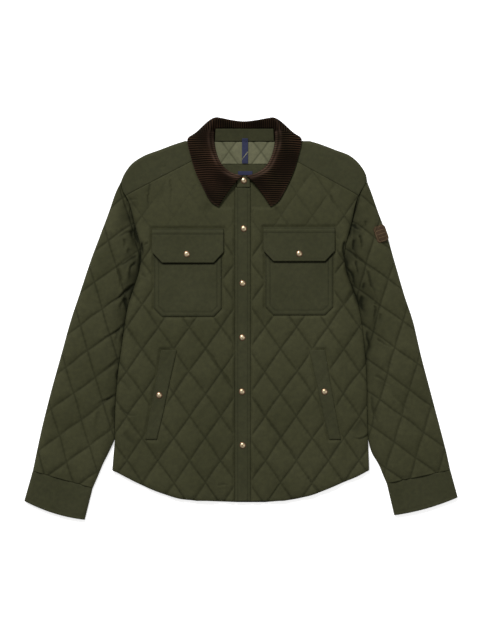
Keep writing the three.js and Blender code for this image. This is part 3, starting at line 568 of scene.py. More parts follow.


# Painted shade on the sleeves: in the quilting lines, in the creases and over a broad patchy band by the
# armhole.
def sleeve_shade(x, y, side):
    across, along = sleeve_turned(x, y, side)
    line = quilt(across, along, 23 if side == "left" else 29)[1]
    folds = np.clip(crease_depth(x, y, SLEEVE_CREASES[side]) / 3.6, 0, 1) ** 1.2
    shaded = 0.58 * np.clip(0.8 + 0.4 * ripple(x, y, 34, 103), 0, 1) * armhole_closeness(x, y, 30)
    return np.clip(np.maximum(0.45 * line, folds) + fold_shade(x, y) + shaded, 0, 1)


def yoke_top(x, y):
    by_collar = smooth_step(distance_outside(x, y, collar_shadow()), 0, 14)
    wave = (0.5 * ripple(x, y, 120, 41) + 0.2 * ripple(x, y, 40, 43)) * by_collar
    dip = 2.0 * armhole_closeness(x, y, 10)
    return FRONT_TOP + 0.3 + 1.1 * by_collar + wave - dip - crease_depth(x, y, YOKE_CREASES)


def at_height(height):
    """A height function that is the same everywhere."""
    return lambda x, y: np.full(np.shape(x), float(height))


# Meshes

def finished_mesh(name, vertices, faces, material, smooth=True):
    mesh = bpy.data.meshes.new(name)
    mesh.from_pydata(to_frame(vertices).tolist(), [], faces)
    mesh.polygons.foreach_set("use_smooth", [smooth] * len(mesh.polygons))
    mesh.materials.append(material)
    mesh.update()
    piece = bpy.data.objects.new(name, mesh)
    bpy.context.scene.collection.objects.link(piece)
    return piece


def add_attribute(piece, name, values):
    """Keep one number for each point of a piece, for its material to read."""
    layer = piece.data.attributes.new(name, "FLOAT", "POINT")
    layer.data.foreach_set("value", np.ravel(values).astype(np.float32))


def merge_doubles(piece, distance=0.00004):
    work = bmesh.new()
    work.from_mesh(piece.data)
    bmesh.ops.remove_doubles(work, verts=work.verts, dist=distance)
    bmesh.ops.dissolve_degenerate(work, edges=work.edges, dist=1e-7)
    work.to_mesh(piece.data)
    work.free()
    piece.data.update()


def grid_faces(rows, columns, first=0):
    index = first + np.arange(rows * columns).reshape(rows, columns)
    a, b, c, d = index[:-1, :-1], index[:-1, 1:], index[1:, 1:], index[1:, :-1]
    return np.stack([a, b, c, d], axis=-1).reshape(-1, 4).tolist(), index


def rim_of(index):
    return np.concatenate([index[0, :-1], index[:-1, -1], index[-1, :0:-1], index[:0:-1, 0]])


def across_shares(width, step):
    """Shares from edge to edge, with closer columns by both edges."""
    close = np.array([0, 0.4, 1.0, 1.9, 3.2]) * min(1, width / 24)
    start = close[-1] * 1.5
    inner = np.linspace(start, width - start, max(3, int((width - 2 * start) / step)))
    return np.concatenate([close, inner, width - close[::-1]]) / width


def down_rows(high, low, step):
    return high - across_shares(high - low, step) * (high - low)


def panel(name, rows, left, right, top, under, material,
          step=2.2, edge=2.0, shade=None, place=None, drop=None):
    """A closed piece of cloth between two side lines, with rounded edges."""
    width = float(np.max(right - left))
    shares = across_shares(width, step)
    x = left[:, None] * (1 - shares) + right[:, None] * shares
    y = np.repeat(np.asarray(rows, dtype=float)[:, None], len(shares), axis=1)
    if place is not None:
        x, y = place(x, y)
    faces, index = grid_faces(len(rows), len(shares))
    rim = rim_of(index)
    ring = np.stack([x.ravel()[rim], y.ravel()[rim]], axis=1)
    ring = ring[np.concatenate([[True], np.linalg.norm(np.diff(ring, axis=0), axis=1) > 0.05])]
    thin = ring[:: max(1, len(ring) // 260)]
    inwards = distance_to_line(x, y, np.vstack([thin, thin[:1]]))
    full = top(x, y)
    below = under(x, y)
    fall = 0.55 * (full - below) if drop is None else np.minimum(drop(x, y), full - below - 0.4)
    width = edge(x, y) if callable(edge) else edge
    round_share = rounded(inwards, width)
    z = full - fall * (1 - round_share)
    upper = np.stack([x, y, z], axis=-1).reshape(-1, 3)
    lower = np.stack([x.ravel()[rim], y.ravel()[rim], below.ravel()[rim]], axis=1)
    base = len(upper)
    after = np.roll(np.arange(len(rim)), -1)
    sides = [[int(rim[k]), base + k, base + int(n), int(rim[n])] for k, n in enumerate(after)]
    underside = [list(range(base, base + len(rim)))[::-1]]
    every = [face[::-1] for face in faces + sides + underside]
    piece = finished_mesh(name, np.vstack([upper, lower]), every, material)
    if shade is not None:
        add_attribute(piece, "painted_shade", np.concatenate([shade(x, y).ravel(), np.zeros(len(rim))]))
    merge_doubles(piece)
    return piece


def inset(outline, distance):
    """Every edge of a counter-clockwise outline moved inwards."""
    before, after = np.roll(outline, 1, axis=0), np.roll(outline, -1, axis=0)
    arriving, leaving = outline - before, after - outline
    arriving = arriving / np.maximum(np.linalg.norm(arriving, axis=1, keepdims=True), 1e-9)
    leaving = leaving / np.maximum(np.linalg.norm(leaving, axis=1, keepdims=True), 1e-9)
    normal = np.stack([-arriving[:, 1] - leaving[:, 1], arriving[:, 0] + leaving[:, 0]], axis=1)
    normal = normal / np.maximum(np.linalg.norm(normal, axis=1, keepdims=True), 1e-9)
    along = np.clip(-normal[:, 0] * leaving[:, 1] + normal[:, 1] * leaving[:, 0], 0.4, 1)
    return outline + normal * (distance / along)[:, None]


def plate(name, outline, low, high, edge, material, shade):
    """A flat padded layer with a rounded rim and plain faces."""
    inner = inset(outline, edge)
    rims = [low + share * (high - low) for share in (0.35, 0.6)]
    levels = [(inner, low), (outline, rims[0]), (outline, rims[1]), (inner, high)]
    count = len(outline)
    vertices = np.vstack([np.column_stack([ring, np.full(count, z)]) for ring, z in levels])
    faces = [list(range(count))[::-1], list(range(3 * count, 4 * count))]
    for level in range(3):
        for k in range(count):
            a, b = level * count + k, level * count + (k + 1) % count
            faces.append([a, b, b + count, a + count])
    piece = finished_mesh(name, vertices, faces, material, smooth=False)
    add_attribute(piece, "painted_shade", shade(vertices[:, 0], vertices[:, 1]))
    return piece


def tube(name, outer, inner, material, shade=None):
    """A pressed tube: outer and inner grids of rings, joined at both open ends."""
    rows, count = outer.shape[:2]
    inner_rows = inner.shape[0]
    faces = []
    for offset, number, flip in ((0, rows, False), (rows * count, inner_rows, True)):
        for i in range(number - 1):
            for k in range(count):
                a, b = offset + i * count + k, offset + i * count + (k + 1) % count
                face = [a, a + count, b + count, b]
                faces.append(face[::-1] if flip else face)
    start, end = rows * count, rows * count + (inner_rows - 1) * count
    last = (rows - 1) * count
    for k in range(count):
        n = (k + 1) % count
        faces.append([k, n, start + n, start + k])
        faces.append([last + n, last + k, end + k, end + n])
    vertices = np.vstack([outer.reshape(-1, 3), inner.reshape(-1, 3)])
    piece = finished_mesh(name, vertices, faces, material)
    if shade is not None:
        add_attribute(piece, "painted_shade", np.concatenate([shade.ravel(), np.zeros(inner_rows * count)]))
    return piece


def stitches(name, paths, top, material, pitch=3.4, length=2.6, radius=0.3, sink=0.05):
    """Rows of short thread grains along plane paths, joined in one mesh."""
    vertices, faces = [], []
    for path in paths:
        path = np.asarray(path, dtype=float)
        centres = resampled(path, pitch)
        if len(centres) < 2:
            continue
        run = np.gradient(centres, axis=0)
        run = run / np.maximum(np.linalg.norm(run, axis=1, keepdims=True), 1e-9)
        start, end = centres - run * length / 2, centres + run * length / 2
        z0, z1 = top(start[:, 0], start[:, 1]), top(end[:, 0], end[:, 1])
        zc = np.maximum(top(centres[:, 0], centres[:, 1]), (z0 + z1) / 2)
        side = np.stack([-run[:, 1], run[:, 0]], axis=1) * radius
        rings = [
            np.column_stack([start, z0 - sink]),
            np.column_stack([centres + side, zc + 0.3 * radius]),
            np.column_stack([centres, zc + 1.1 * radius]),
            np.column_stack([centres - side, zc + 0.3 * radius]),
            np.column_stack([centres, zc - radius]),
            np.column_stack([end, z1 - sink]),
        ]
        base = len(vertices)
        grains = np.stack(rings, axis=1).reshape(-1, 3)
        vertices.extend(grains)
        for k in range(len(centres)):
            o = base + 6 * k
            around = [o + 1, o + 2, o + 3, o + 4]
            for m in range(4):
                n = (m + 1) % 4
                faces.append([o, around[n], around[m]])
                faces.append([o + 5, around[m], around[n]])
    return finished_mesh(name, np.array(vertices), faces, material)


# Materials

def node_tools(material):
    material.use_nodes = True
    nodes, links = material.node_tree.nodes, material.node_tree.links
    return nodes, links, nodes["Principled BSDF"]


def noise_node(nodes, links, coordinates, scale, detail=4, roughness=0.55):
    noise = nodes.new("ShaderNodeTexNoise")
    noise.inputs["Scale"].default_value = scale
    noise.inputs["Detail"].default_value = detail
    noise.inputs["Roughness"].default_value = roughness
    links.new(coordinates, noise.inputs["Vector"])
    return noise.outputs["Fac"]


def ramp_node(nodes, links, value, stops):
    ramp = nodes.new("ShaderNodeValToRGB")
    ramp.color_ramp.elements[0].position = stops[0][0]
    ramp.color_ramp.elements[0].color = (*stops[0][1], 1)
    ramp.color_ramp.elements[1].position = stops[-1][0]
    ramp.color_ramp.elements[1].color = (*stops[-1][1], 1)
    for position, colour in stops[1:-1]:
        ramp.color_ramp.elements.new(position).color = (*colour, 1)
    links.new(value, ramp.inputs["Fac"])
    return ramp.outputs["Color"]


def mixed(nodes, links, share, first, second, blend="MIX"):
    mix = nodes.new("ShaderNodeMix")
    mix.data_type = "RGBA"
    mix.blend_type = blend
    for name_of_socket, value in (("Factor", share), ("A", first), ("B", second)):
        socket = [s for s in mix.inputs if s.name == name_of_socket and s.enabled][0]
        if isinstance(value, (int, float)):
            socket.default_value = value
        elif isinstance(value, tuple):
            socket.default_value = (*value, 1)
        else:
            links.new(value, socket)
    return [s for s in mix.outputs if s.name == "Result" and s.enabled][0]


def maths(nodes, links, operation, first, second=None):
    node = nodes.new("ShaderNodeMath")
    node.operation = operation
    for socket, value in zip(node.inputs, (first, second)):
        if value is None:
            continue
        if isinstance(value, (int, float)):
            socket.default_value = value
        else:
            links.new(value, socket)
    return node.outputs[0]


def wave_node(nodes, links, coordinates, pitch_mm, direction):
    wave = nodes.new("ShaderNodeTexWave")
    wave.wave_type = "BANDS"
    wave.bands_direction = direction
    wave.inputs["Scale"].default_value = math.tau / (20 * pitch_mm * MM)
    wave.inputs["Distortion"].default_value = 0.6
    wave.inputs["Detail"].default_value = 1.0
    wave.inputs["Detail Scale"].default_value = 2.0
    links.new(coordinates, wave.inputs["Vector"])
    return wave.outputs["Fac"]


def woven_cloth(name, dark, light, weave_mm=0.9, roughness=0.78, sheen=0.12, sheen_tint=(0.52, 0.53, 0.34),
                groove_shade=0.95, wear=(0.085, 0.082, 0.045)):
    """Plain woven cloth: mottled colour, two sets of threads, worn high spots, and painted shade in grooves,
    creases and seams, mixed in from a point attribute.
    """
    material = bpy.data.materials.new(name)
    nodes, links, shader = node_tools(material)
    place = nodes.new("ShaderNodeTexCoord").outputs["Object"]
    broad = noise_node(nodes, links, place, 9, 3)
    fine = noise_node(nodes, links, place, 130, 5)
    colour = ramp_node(nodes, links, broad, [(0.3, dark), (0.7, light)])
    speck = ramp_node(nodes, links, fine, [(0.35, (0.86, 0.86, 0.86)), (0.7, (1.1, 1.1, 1.08))])
    colour = mixed(nodes, links, 1.0, colour, speck, "MULTIPLY")
    warp, weft = (wave_node(nodes, links, place, weave_mm, direction) for direction in ("X", "Y"))
    threads = maths(nodes, links, "MULTIPLY", warp, weft)
    colour = mixed(nodes, links, maths(nodes, links, "MULTIPLY", threads, 0.16), colour, wear)
    painted_shade = nodes.new("ShaderNodeAttribute")
    painted_shade.attribute_name = "painted_shade"
    shade = maths(nodes, links, "MULTIPLY", painted_shade.outputs["Fac"], groove_shade)
    # A darker olive mixed in by the attribute: painted shade in quilting grooves, creases, seams and under
    # edges.
    deep = (dark[0] * 0.1, dark[1] * 0.12, dark[2] * 0.02)
    colour = mixed(nodes, links, shade, colour, deep)
    links.new(colour, shader.inputs["Base Color"])
    rough = maths(nodes, links, "ADD", roughness - 0.08, maths(nodes, links, "MULTIPLY", fine, 0.16))
    links.new(rough, shader.inputs["Roughness"])
    shader.inputs["Sheen Weight"].default_value = sheen
    shader.inputs["Sheen Roughness"].default_value = 0.28
    shader.inputs["Sheen Tint"].default_value = (*sheen_tint, 1)
    shader.inputs["Specular IOR Level"].default_value = 0.1
    bump = nodes.new("ShaderNodeBump")
    bump.inputs["Strength"].default_value = 0.35
    bump.inputs["Distance"].default_value = 0.0004
    height = maths(nodes, links, "ADD", threads, maths(nodes, links, "MULTIPLY", fine, 0.8))
    links.new(height, bump.inputs["Height"])
    links.new(bump.outputs["Normal"], shader.inputs["Normal"])
    return material


def corduroy_cloth(name):
    material = bpy.data.materials.new(name)
    nodes, links, shader = node_tools(material)
    place = nodes.new("ShaderNodeTexCoord").outputs["Object"]
    pile = noise_node(nodes, links, place, 420, 4)
    patch = noise_node(nodes, links, place, 22, 3)
    colour = ramp_node(nodes, links, patch, [
        (0.3, (0.0032, 0.0028, 0.0014)), (0.72, (0.0118, 0.0062, 0.0040))])
    colour = mixed(nodes, links, maths(nodes, links, "MULTIPLY", pile, 0.4), colour, (0.0135, 0.0094, 0.0045))
    # Painted shade in the wale furrows and painted highlight on the wale ridges.
    wale = nodes.new("ShaderNodeAttribute")
    wale.attribute_name = "wale"
    wale_shade_and_highlight = ramp_node(nodes, links, wale.outputs["Fac"], [
        (0.1, (0.02, 0.02, 0.02)), (0.5, (0.55, 0.55, 0.55)), (0.95, (5.0, 4.3, 4.0))])
    colour = mixed(nodes, links, 1.0, colour, wale_shade_and_highlight, "MULTIPLY")
    # Lighter reddish colour from an attribute: partly worn pile, partly painted highlight.
    wear_and_highlight = nodes.new("ShaderNodeAttribute")
    wear_and_highlight.attribute_name = "wear_and_highlight"
    colour = mixed(nodes, links, wear_and_highlight.outputs["Fac"], colour, (0.16, 0.098, 0.070))
    links.new(colour, shader.inputs["Base Color"])
    shader.inputs["Roughness"].default_value = 0.92
    shader.inputs["Sheen Weight"].default_value = 0.06
    shader.inputs["Sheen Roughness"].default_value = 0.35
    shader.inputs["Sheen Tint"].default_value = (0.42, 0.25, 0.15, 1)
    shader.inputs["Specular IOR Level"].default_value = 0.04
    bump = nodes.new("ShaderNodeBump")
    bump.inputs["Strength"].default_value = 0.5
    bump.inputs["Distance"].default_value = 0.0006
    links.new(pile, bump.inputs["Height"])
    links.new(bump.outputs["Normal"], shader.inputs["Normal"])
    return material


def snap_brass(name):
    material = bpy.data.materials.new(name)
    nodes, links, shader = node_tools(material)
    place = nodes.new("ShaderNodeTexCoord").outputs["Object"]
    tarnish = noise_node(nodes, links, place, 260, 5)
    colour = ramp_node(nodes, links, tarnish, [(0.32, (0.30, 0.20, 0.10)), (0.62, (0.72, 0.60, 0.40))])
    rim = nodes.new("ShaderNodeAttribute")
    rim.attribute_name = "rim"
    colour = mixed(nodes, links, rim.outputs["Fac"], colour, (0.16, 0.085, 0.05))
    links.new(colour, shader.inputs["Base Color"])
    shader.inputs["Metallic"].default_value = 0.9
    rough = maths(nodes, links, "ADD", 0.26, maths(nodes, links, "MULTIPLY", tarnish, 0.2))
    links.new(rough, shader.inputs["Roughness"])
    bump = nodes.new("ShaderNodeBump")
    bump.inputs["Strength"].default_value = 0.2
    bump.inputs["Distance"].default_value = 0.0002
    links.new(tarnish, bump.inputs["Height"])
    links.new(bump.outputs["Normal"], shader.inputs["Normal"])
    return material


def floor_paper(name):
    material = bpy.data.materials.new(name)
    nodes, links, shader = node_tools(material)
    place = nodes.new("ShaderNodeTexCoord").outputs["Object"]
    grain = noise_node(nodes, links, place, 300, 3)
    colour = ramp_node(nodes, links, grain, [(0.3, (0.93, 0.93, 0.93)), (0.7, (0.96, 0.96, 0.96))])
    links.new(colour, shader.inputs["Base Color"])
    shader.inputs["Roughness"].default_value = 0.95
    shader.inputs["Emission Color"].default_value = (1, 1, 1, 1)
    shader.inputs["Emission Strength"].default_value = 0.55
    return material


SHELL = woven_cloth("olive_shell", (0.0325, 0.0330, 0.0140), (0.0425, 0.0425, 0.0196))
PLAIN = woven_cloth("olive_plain", (0.0300, 0.0308, 0.0136), (0.0365, 0.0370, 0.0176))
LINING = woven_cloth("sage_lining", (0.078, 0.080, 0.043), (0.128, 0.126, 0.074), 0.6, 0.55, 0.16,
                     (0.8, 0.8, 0.6), 0.5, (0.22, 0.22, 0.14))
NAVY = woven_cloth("navy_tape", (0.017, 0.019, 0.045), (0.028, 0.032, 0.07), 1.2, 0.6, 0.1,
                   (0.4, 0.4, 0.6), 0.3, (0.05, 0.055, 0.11))
FELT = woven_cloth("badge_felt", (0.035, 0.022, 0.013), (0.055, 0.034, 0.019), 1.4, 0.9, 0.2,
                   (0.5, 0.35, 0.25), 0.3, (0.08, 0.05, 0.03))
THREAD = woven_cloth("olive_thread", (0.022, 0.023, 0.011), (0.034, 0.035, 0.017), 0.5, 0.7, 0.08)
TAN_THREAD = woven_cloth("tan_thread", (0.16, 0.11, 0.055), (0.24, 0.17, 0.09), 0.5, 0.6, 0.1)
YELLOW_THREAD = woven_cloth("yellow_thread", (0.40, 0.38, 0.16), (0.5, 0.48, 0.24), 0.5, 0.6, 0.1)
CORD = corduroy_cloth("brown_corduroy")
BRASS = snap_brass("antique_brass")


# Pieces

def register(piece, node=None):
    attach(piece, "root")
    if node:
        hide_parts(node)
    return piece


def plan_area(rows, left, right):
    return float(np.trapz(right - left, -np.asarray(rows))) * MM * MM


def lay(rows, left, right):
    """Work out the width, length and plan area of a flat cut piece of cloth; the results are not kept."""
    width = float(np.max(right) - np.min(left)) * MM
    length = float(max(rows) - min(rows)) * MM
    area = min(plan_area(rows, left, right), width * length)


def front_bounds(side, rows):
    """Left and right x of a front at each height."""
    sign = -1 if side == "left" else 1
    line = LINES[side]
    lower = joined(line["armhole"], line["side"][1:], line["hem"][1:])
    outer = x_at(lower, rows)
    corner = x_at(line["armhole"], YOKE_SEAM["at_armhole"])
    neck_x = NECK_AXIS_X + sign * YOKE_SEAM["neck_out"]
    seam = np.interp(rows, [YOKE_SEAM["at_armhole"], YOKE_SEAM["at_neck"]], [corner, neck_x])
    outer = np.where(rows > YOKE_SEAM["at_armhole"], seam, outer)
    neck_rows = [row for row in NECK_HALF if row[1] < YOKE_SEAM["at_neck"]]
    heights = [YOKE_SEAM["at_neck"]] + [row[1] for row in neck_rows]
    edge = [neck_x] + [NECK_AXIS_X + sign * row[0] for row in neck_rows]
    neck = np.interp(rows, heights[::-1], edge[::-1])
    inner = np.where(rows > NECK_HALF[-1][1], neck, PLACKET["right"])
    gap = SEAM_GAP / 2
    outer, inner = outer - sign * gap, inner + sign * gap
    return (outer, inner) if side == "left" else (inner, outer)


def by_side_seam(x, y):
    """1 by the armholes and side seams, where the fronts slope down to the back."""
    return smooth_step(np.abs(x - 14), 25, 60) * (1 - smooth_step(y, 120, 240))


def front_edge(x, y):
    return 2.4 + 6.5 * by_side_seam(x, y)


def front_drop(x, y):
    by_placket = (np.abs(x - PLACKET["right"]) < 6) * (y < PLACKET["top"])
    return 1.3 + 2.6 * by_side_seam(x, y) - 1.1 * by_placket


def make_front(side):
    wearer = WEARER[side]
    rows = down_rows(YOKE_SEAM["at_neck"] - 1, HEM_Y, 1.9)
    left, right = front_bounds(side, rows)
    under = at_height(FRONT_UNDERSIDE)
    piece = panel(f"front_{wearer}_cloth", rows, left, right, front_top, under, SHELL,
                  step=1.8, edge=front_edge, shade=front_shade, drop=front_drop)
    register(piece, f"front_{wearer}")
    lay(rows, left, right)


def make_yoke(side):
    wearer = WEARER[side]
    sign = -1 if side == "left" else 1
    line = LINES[side]
    rows = down_rows(YOKE_NECK[-1][0], YOKE_SEAM["at_armhole"] + 0.5, 2.2)
    outer = x_at(joined(line["shoulder"], line["armhole"][1:]), rows)
    corner = x_at(line["armhole"], YOKE_SEAM["at_armhole"])
    by_neck = [(YOKE_SEAM["at_neck"], YOKE_SEAM["neck_out"])] + YOKE_NECK
    inner_rows = [YOKE_SEAM["at_armhole"]] + [row[0] for row in by_neck]
    inner = np.interp(rows, inner_rows, [corner] + [NECK_AXIS_X + sign * row[1] for row in by_neck])
    gap = SEAM_GAP / 2
    outer, inner = outer - sign * gap, inner + sign * gap
    left, right = (outer, inner) if side == "left" else (inner, outer)
    left, right = np.minimum(left, right), np.maximum(left, right)
    under = at_height(FRONT_UNDERSIDE)
    shoulder = LINES[side]["shoulder"][::2]

    def by_shoulder(x, y):
        return 1 - smooth_step(distance_to_line(x, y, shoulder), 3, 12)

    def edge(x, y):
        return 2.4 + 6 * by_shoulder(x, y)

    def drop(x, y):
        return 1.3 + 2.4 * by_shoulder(x, y)

    piece = panel(f"yoke_{wearer}_cloth", rows, left, right, yoke_top, under, PLAIN,
                  edge=edge, shade=fold_shade, drop=drop)
    register(piece, f"yoke_{wearer}")
    lay(rows, left, right)


def back_outline():
    left, right = LINES["left"], LINES["right"]
    down = joined(left["shoulder"][1:], left["armhole"][1:], left["side"][1:], left["hem"][1:])
    up = joined(right["shoulder"][1:], right["armhole"][1:], right["side"][1:], right["hem"][1:])[::-1]
    return resampled(joined(BACK_NECK[:1], down, BACK_HEM, up, BACK_NECK[::-1]), 3)[:-1]


def below_placket_shadow(x, y):
    """Painted shadow on the part of the back that shows under the end of the placket."""
    return 0.9 * (y < HEM_Y + 2) * (x > -14) * (x < 50)


def make_back():
    outline = back_outline()
    piece = plate("back_cloth", outline, 0, BACK_THICKNESS, 1.2, SHELL, below_placket_shadow)
    register(piece, "back")


def sleeve_stations(side, step):
    """Ends of straight lines across the sleeve, from the shoulder to the cuff seam."""
    cuff = CUFF[side]
    across = np.subtract(cuff["inner_top"], cuff["outer_top"])
    across = across / np.linalg.norm(across)
    sign = 1 if side == "left" else -1
    down = np.array([across[1], -across[0]]) * sign
    line = LINES[side]
    outer = joined(line["sleeve"], [cuff["outer_top"]])
    inner = joined(line["armhole"], line["under"][1:], [cuff["inner_top"]])
    outer_down, inner_down = outer @ down, inner @ down
    first = max(outer_down[0], inner_down[0]) + 1.5
    last = float(np.dot(cuff["outer_top"], down))
    at = np.linspace(first, last - 0.01, max(2, int((last - first) / step)))
    outer_across = np.interp(at, outer_down, outer @ across)
    inner_across = np.interp(at, inner_down, inner @ across)
    gap = SEAM_GAP / 2
    return at, down, across, outer_across + gap, inner_across + 0.3


def flat_loop(side_top, side_bottom):
    """Shares across for the top run and the bottom run of a pressed ring."""
    top = across_shares(100, side_top)
    bottom = np.linspace(1, 0, side_bottom)[1:-1]
    return top, bottom


def make_sleeve(side):
    wearer = WEARER[side]
    at, down, across, outer_edge, inner_edge = sleeve_stations(side, 1.8)
    top_share, bottom_share = flat_loop(1.35, 18)
    shares = np.concatenate([top_share, bottom_share])
    is_top = np.concatenate([np.ones(len(top_share), bool), np.zeros(len(bottom_share), bool)])
    width = (inner_edge - outer_edge)[:, None]
    t = outer_edge[:, None] + width * shares
    plane = t[..., None] * across + at[:, None, None] * down
    x, y = plane[..., 0], plane[..., 1]
    inwards = np.minimum(shares, 1 - shares) * width
    end = (at[-1] - at)[:, None]
    reach = np.minimum(SLEEVE_ROUND, 0.5 * width)
    round_share = rounded(inwards, reach)
    full = sleeve_top(x, y, side)
    full = full - 1.6 * np.exp(-((end / 9) ** 2))
    z_top = SLEEVE_RIM + (full - SLEEVE_RIM) * round_share
    z = np.where(is_top, z_top, SLEEVE_RIM * (1 - rounded(inwards, 5)))
    outer = np.stack([x, y, z], axis=-1)
    shade = np.where(is_top, sleeve_shade(x, y, side), 0.0)
    picks = np.unique(np.linspace(0, len(at) - 1, 26).astype(int))
    margin = np.minimum(SLEEVE_SLIT_INSET, 0.35 * width)[picks]
    inner_t = np.clip(t[picks], outer_edge[picks, None] + margin, inner_edge[picks, None] - margin)
    inner_plane = inner_t[..., None] * across + at[picks][:, None, None] * down
    inner_z = np.where(is_top, SLEEVE_SLIT[1], SLEEVE_SLIT[0]) + 0 * inner_t
    inner = np.concatenate([inner_plane, inner_z[..., None]], axis=-1)
    flip = side == "right"
    if flip:
        outer, inner, shade = outer[:, ::-1], inner[:, ::-1], shade[:, ::-1]
    piece = tube(f"sleeve_{wearer}_cloth", outer, inner, SHELL, shade)
    register(piece, f"sleeve_{wearer}")
    area = 2 * float(np.trapz(inner_edge - outer_edge, at)) * MM * MM


def cuff_plane(side, u, v):
    """Place on a cuff: u runs from its outer to its inner edge, v down to its end."""
    corner = {key: np.array(value, dtype=float) for key, value in CUFF[side].items()}
    u, v = u[..., None], v[..., None]
    top = corner["outer_top"] * (1 - u) + corner["inner_top"] * u
    end = corner["outer_end"] * (1 - u) + corner["inner_end"] * u
    down = corner["outer_end"] - corner["outer_top"]
    down = down / np.linalg.norm(down)
    return top * (1 - v) + end * v + 4 * u * (1 - u) * v ** 2 * CUFF_END_BOW[side] * down


def cuff_height(side, u, v):
    inwards = np.minimum(u, 1 - u) * CUFF_WIDTH
    ends = np.minimum(v, 1 - v) * CUFF_LENGTH
    plane = cuff_plane(side, u, v)
    x, y = plane[..., 0], plane[..., 1]
    wave = 0.5 * ripple(x, y, 70, 51) + 0.2 * ripple(x, y, 22, 53)
    channel = 0.5 * np.exp(-(((1 - v) * CUFF_LENGTH - CUFF_HEM) / 1.2) ** 2)
    full = CUFF_TOP + 0.8 + wave - channel
    round_share = rounded(inwards, 9)
    end_share = rounded(ends, 1.6)
    return CUFF_RIM + (full - CUFF_RIM) * round_share * (0.55 + 0.45 * end_share)


def make_cuff(side):
    wearer = WEARER[side]
    top_share, bottom_share = flat_loop(2.0, 14)
    shares = np.concatenate([top_share, bottom_share])
    is_top = np.concatenate([np.ones(len(top_share), bool), np.zeros(len(bottom_share), bool)])
    v, u = np.meshgrid(across_shares(CUFF_LENGTH, 2.0), shares, indexing="ij")
    plane = cuff_plane(side, u, v)
    low = CUFF_RIM * (1 - rounded(np.minimum(u, 1 - u) * CUFF_WIDTH, 4))
    z = np.where(is_top, cuff_height(side, u, v), low)
    outer = np.concatenate([plane, z[..., None]], axis=-1)
    inner_u = np.clip(u, 0.045, 0.955)
    inner_plane = cuff_plane(side, inner_u, v)
    bow = np.sin(np.clip((inner_u - 0.045) / 0.91, 0, 1) * math.pi)
    inner_z = np.where(is_top, 3.9 + 1.1 * bow, 3.6 - 0.6 * bow)
    inner = np.concatenate([inner_plane, inner_z[..., None]], axis=-1)
    if side == "right":
        outer, inner = outer[:, ::-1], inner[:, ::-1]
    piece = tube(f"cuff_{wearer}_cloth", outer, inner, PLAIN)
    register(piece, f"cuff_{wearer}")


def on_front(lift):
    return lambda x, y: front_top(x, y) + lift


def welt_top(x, y):
    return front_top(x, y) + POCKET_LIFT + FLAP_CLOTH + 0.3 * ripple(x, y, 40, 61)


def make_welt(side):
    wearer = WEARER[side]
    rows = down_rows(WELT[0][0], WELT[-1][0], 1.8)
    inner, outer = welt_lines(side)
    first, second = np.interp(-rows, -inner[:, 1], inner[:, 0]), np.interp(-rows, -outer[:, 1], outer[:, 0])
    left, right = np.minimum(first, second), np.maximum(first, second)
    piece = panel(f"welt_{wearer}_cloth", rows, left, right, welt_top, on_front(POCKET_LIFT), PLAIN, 1.8)
    register(piece, f"welt_{wearer}")
    lay(rows, left, right)


def rows_and_sides(outline, step):
    """Rows of a symmetrical outline with straight sides and clipped lower corners."""
    x, y = outline[:, 0], outline[:, 1]
    centre = (x.min() + x.max()) / 2
    rows = down_rows(y.max(), y.min(), step)
    right = outline[x > centre]
    right = right[np.argsort(right[:, 1])]
    half = np.interp(rows, right[:, 1], right[:, 0]) - centre
    return rows, centre - half, centre + half


def by_flap(x, y, reach):
    """Closeness to the lower edges of the two flaps."""
    near = [distance_to_line(x, y, chest_flap_outline(place)[1:-1]) for place in CHEST_PLACES.values()]
    return np.exp(-((np.minimum(*near) / reach) ** 2))


def pocket_seams(x, y):
    """Closeness to the stitched lines round the two pockets."""
    near = np.full(np.shape(x), np.inf)
    for place in CHEST_PLACES.values():
        for gap in POCKET_SEAMS:
            near = np.minimum(near, distance_to_line(x, y, inset(chest_pocket_outline(place), gap)))
    return np.exp(-((near / 1.1) ** 2))


def pocket_top(x, y):
    sag = 0.35 * ripple(x, y, 90, 67) + 0.12 * ripple(x, y, 26, 69)
    pressed = 1.1 * by_flap(x, y, 3.5) + 0.4 * pocket_seams(x, y)
    return front_top(x, y) + POCKET_LIFT + POCKET_CLOTH + sag + 0.35 - pressed


# Painted shadow under the flaps' lower edges and painted shade along the pocket's stitched lines.
def pocket_shade(x, y):
    return np.clip(by_flap(x, y, 3.4) + 0.36 * pocket_seams(x, y), 0, 1)


def flap_lift(place, x, y):
    """A flap is sewn down along its top and stands off the pocket at its lower edge."""
    down = place[1] - y
    sewn = 0.4 + (FLAP_LIFT - 0.4) * smooth_step(down, 0, CHEST_POCKET["under_flap"])
    return sewn + 1.9 * smooth_step(down / CHEST_FLAP["height"], 0.2, 1.0)


def flap_seams(place, x, y):
    """Closeness to the two stitched lines that hold a flap."""
    down = place[1] - y
    return np.exp(-(((down - FLAP_SEAMS[0]) / 1.1) ** 2)) + np.exp(-(((down - FLAP_SEAMS[1]) / 1.1) ** 2))


def flap_top(place):
    def top(x, y):
        sag = 0.2 * ripple(x, y, 70, 71)
        return front_top(x, y) + FLAP_CLOTH + flap_lift(place, x, y) + sag - 0.5 * flap_seams(place, x, y)
    return top


